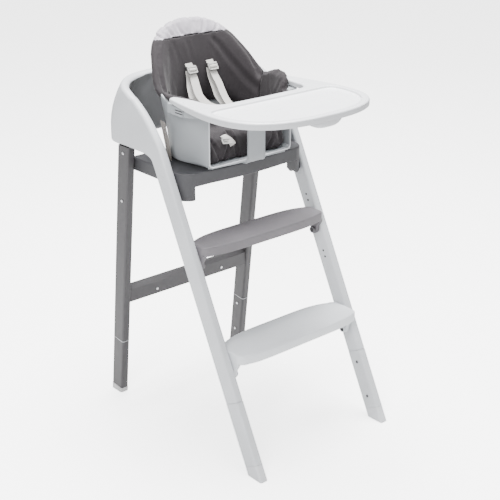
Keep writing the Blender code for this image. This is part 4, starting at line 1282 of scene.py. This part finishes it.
def ladder_lock(name, node, place, x, y, z, bars, middle):
    """A frame from -x to x, y and z (low, high), with edge bars and a bar in its middle."""
    (y0, y1), (z0, z1), (inner, low, high) = y, z, bars
    build = Build()
    for corners in (((-x, y0, high), (x, y1, z1)), ((-x, y0, z0), (x, y1, low)),
                    ((-x, y0, z0), (-inner, y1, z1)), ((inner, y0, z0), (x, y1, z1)), middle):
        build.box(*corners, 0.001, 2, place)
    build.make(name, BUCKLE, "baby_seat", (node,))


BUCKLE_Y = 0.052
STRAP_SIZE = (0.0225, 0.0016)
STRAP_LEAN = {1: 0.0, -1: 0.028}   # how far each shoulder strap falls outwards


def make_shoulder_strap(tag, side):
    """Two layers of webbing: the strap to the buckle and its tail behind it."""
    straps = Build()
    lean = STRAP_LEAN[side]
    front = [(side * 0.035, 0.1895, 0.946), (side * 0.035, 0.18, 0.934),
             (side * 0.0345, 0.169, 0.915), (side * (0.031 + lean * 0.5), 0.144, 0.893),
             (side * (0.024 + lean), 0.12, 0.873), (side * (0.018 + lean), 0.096, 0.857),
             (side * (0.011 + lean * 0.5), 0.066, 0.8475)]
    ribbon(straps, front, *STRAP_SIZE, lambda t: (1, side * 0.3 * t, 0.05))
    shift = -0.0075
    tail = [(side * 0.0345 + shift * 0.4, 0.185, 0.926),
            (side * 0.0355 + shift * 0.9, 0.174, 0.905),
            (side * (0.034 + lean * 0.4) + shift, 0.156, 0.882),
            (side * (0.029 + lean * 0.8) + shift, 0.134, 0.86),
            (side * (0.024 + lean) + shift * 0.6, 0.106, 0.845),
            (side * 0.02, 0.086, 0.836)]
    ribbon(straps, tail, *STRAP_SIZE, lambda t: (1, 0.25 - 0.5 * t, 0.1))
    straps.make("shoulder_webbing_" + tag, WEBBING, "baby_seat", ("shoulder_strap_" + tag,),
                60)
    place = (Matrix.Translation((side * 0.0347, 0.1754, 0.9305))
             @ Matrix.Rotation(math.radians(-32), 4, 'X'))
    ladder_lock("ladder_lock_" + tag, "strap_slider_" + tag, place, 0.015,
                (-0.005, -0.0006), (-0.0105, 0.0105), (0.0122, -0.007, 0.005),
                ((-0.014, -0.0042, -0.0018), (0.014, -0.0004, 0.0018)))
    arch = [(0, -0.0012, 0.0044), (0, -0.0044, 0.003), (0, -0.0056, 0.0),
            (0, -0.0052, -0.003), (0, -0.002, -0.0062)]
    strap("strap_loop_" + tag, WEBBING, "baby_seat", [place @ Vector(p) for p in arch],
          (0.0215, 0.0014), (1, 0, 0))


def make_harness():
    """Shoulder, waist and crotch straps, and the belts that hold the tub on the plate."""
    for tag, side in SIDES:
        make_shoulder_strap(tag, side)
        waist = [(side * x, y, z) for x, y, z in
                 ((0.116, 0.094, 0.818), (0.098, 0.086, 0.822), (0.07, 0.072, 0.829),
                  (0.044, 0.06, 0.835), (0.0225, 0.0535, 0.839))]
        strap("waist_webbing_" + tag, WEBBING, "baby_seat", waist, (0.02, 0.0016),
              lambda t: (0, 0.35 - 0.3 * t, 1), ("waist_strap_" + tag,))
        belt = [(side * x, y, z) for x, y, z in
                ((0.153, 0.124, 0.7235), (0.1545, 0.124, 0.735), (0.1575, 0.1235, 0.757),
                 (0.1635, 0.1225, 0.786), (0.17, 0.1215, 0.814), (0.173, 0.1205, 0.828))]
        strap("fixing_webbing_" + tag, BELT, "seat_plate", belt, (0.025, 0.0018),
              (0.15 * side, -1.0, 0), ("fixing_belt_" + tag,))
    strap("crotch_webbing", WEBBING, "baby_seat",
          [(0, BUCKLE_Y, z) for z in (0.8055, 0.812, 0.82)], (0.0225, 0.0018),
          (1, 0, 0), ("crotch_strap",), angle=40)


def make_buckle():
    """The case with its waisted outline, and the release button in its front."""
    y, z = BUCKLE_Y, 0.842
    profile = [(-0.024, 0.013, 0.004), (-0.021, 0.018, 0.0055), (-0.012, 0.0205, 0.0062),
               (0.0, 0.0215, 0.0064), (0.008, 0.021, 0.006), (0.0125, 0.0185, 0.0048),
               (0.014, 0.016, 0.0035)]
    build = Build()
    build.loft([[(px, y - 0.002 + py, z + rise)
                 for px, py in squarish(half, thick, (0.5, 0.5), 40)]
                for rise, half, thick in profile])
    build.make("buckle_case", BUCKLE, "baby_seat", ("buckle_body",), 60)
    button = Build()
    button.box((-0.0088, y - 0.0106, z - 0.0115), (0.0088, y - 0.007, z + 0.0055), 0.0014)
    button.make("release_button", PLATE, "buckle_button", ("buckle_button",))


def make_adjuster():
    """The ladder lock that hangs at the front of the cushion, with a short tail."""
    place = (Matrix.Translation((-0.076, -0.0165, 0.7885))
             @ Matrix.Rotation(math.radians(8), 4, 'Y')
             @ Matrix.Rotation(math.radians(-38), 4, 'X'))
    ladder_lock("adjuster_lock", "strap_adjuster", place, 0.0175, (-0.0034, 0.0),
                (-0.0075, 0.0075), (0.0145, -0.0042, 0.004),
                ((-0.017, -0.003, -0.0012), (0.017, 0.0, 0.0016)))
    tail = [(-0.073, 0.004, 0.7985), (-0.071, -0.007, 0.796), (-0.068, -0.0165, 0.7905),
            (-0.064, -0.022, 0.7835), (-0.062, -0.0235, 0.778)]
    strap("adjuster_tail", WEBBING, "baby_seat", tail, (0.019, 0.0015), (1, 0, 0.1))


# ---------------------------------------------------------------- carried-over CAD nodes
def paint_nodes():
    """Looks of the nodes that no piece stands for; later entries win."""
    looks = [("front_leg_lower", HOOP), ("rear_leg", LEG_DARK), ("rear_crossbar", LEG_DARK),
             ("front_foot", FOOT_LIGHT), ("rear_foot", FOOT), ("screw", STEEL),
             ("front_screw", DARK_STEEL), ("footrest_bolt", DARK_STEEL),
             ("step_bolt", DARK_STEEL), ("plate_bolt", DARK_STEEL)]
    for name, node in NODES.items():
        for part, look in looks:
            if part in name:
                node.data.materials.clear()
                node.data.materials.append(look)


def make_seams():
    """Thin pale rings where the rear leg extensions start."""
    tilt = math.atan(REAR_LEAN)
    centre = FOOT_HALF - REAR_DEPTH / math.cos(tilt) / 2
    height = REAR_SEAM * math.sqrt(1 + REAR_LEAN**2)
    radius = 0.0055
    x, y = LEG_WIDTH / 2 - radius, REAR_DEPTH / 2 - radius
    for tag, side in SIDES:
        place = (Matrix.Translation((side * REAR_X, centre, 0)) @ Matrix.Rotation(-tilt, 4, 'X'))
        loops = []
        for rise, grow in ((-0.0007, 0.0), (-0.0006, 0.0004), (0.0006, 0.0004), (0.0007, 0.0)):
            ring = []
            for corner, start in (((x, y), 0), ((-x, y), 90), ((-x, -y), 180), ((x, -y), 270)):
                ring += arc(corner, radius + grow, start, start + 90, 6)
            loops.append([place @ Vector((*point, height + rise)) for point in ring])
        build = Build()
        build.loft(loops)
        build.make("leg_seam_" + tag, HOOP, "frame")


# ---------------------------------------------------------------- stage
LIGHT_TARGET = Vector((0, 0, 0.6))


def make_floor():
    """A white floor; only the camera sees its glow, so it lights nothing."""
    mesh = bpy.data.meshes.new("floor")
    size = 14.0
    mesh.from_pydata([(-size, -size, 0), (size, -size, 0), (size, size, 0), (-size, size, 0)],
                     [], [(0, 1, 2, 3)])
    look = Look("floor_white", 0.9)
    look.colour(look.ramp(look.noise(0.7), (0.9, 0.9, 0.9), (0.93, 0.93, 0.93)))
    look.shader.inputs["Emission Color"].default_value = (1.0, 1.0, 1.0, 1)
    seen = look.node("LightPath").outputs["Is Camera Ray"]
    look.feed(look.shader.inputs["Emission Strength"], look.multiply(seen, 3.2))
    mesh.materials.append(look.material)
    made = new_object("floor", mesh)
    made.location = (0, 0, -0.0005)


def make_lights():
    """A bright even studio: white surroundings, a key light and a larger one above."""
    world = bpy.data.worlds.new("studio")
    world.use_nodes = True
    background = world.node_tree.nodes["Background"]
    background.inputs["Color"].default_value = (1.0, 1.0, 1.0, 1)
    background.inputs["Strength"].default_value = 0.58
    bpy.context.scene.world = world
    for name, location, size, power in (("key", (-3.1, -2.0, 3.2), 1.6, 230),
                                        ("top", (0.4, 0.3, 3.6), 1.8, 430)):
        lamp = bpy.data.lights.new(name, 'AREA')
        lamp.size = size
        lamp.energy = power
        holder = new_object(name, lamp)
        holder.location = location
        aim = LIGHT_TARGET - Vector(location)
        holder.rotation_euler = aim.to_track_quat('-Z', 'Y').to_euler()


def make_camera():
    """A standing adult's view from the front and the child's right."""
    camera = bpy.data.cameras.new("camera")
    camera.sensor_width = 36
    camera.lens = 77.9616
    holder = new_object("camera", camera)
    holder.location = (-1.748, -2.037, 1.56)
    holder.rotation_euler = (math.radians(90 - 22.13), 0, math.radians(-40.87))
    bpy.context.scene.camera = holder


make_hoop()
make_boards()
make_plate()
make_tub()
make_tray()
make_handle()
make_latches()
make_covers()
for tag, side in SIDES:
    make_wing(tag, side)
make_seat_cushion()
make_harness()
make_buckle()
make_adjuster()
paint_nodes()
make_seams()
make_floor()
make_lights()
make_camera()


def corners(bounds):
    return [[float(v) for v in corner] for corner in bounds]
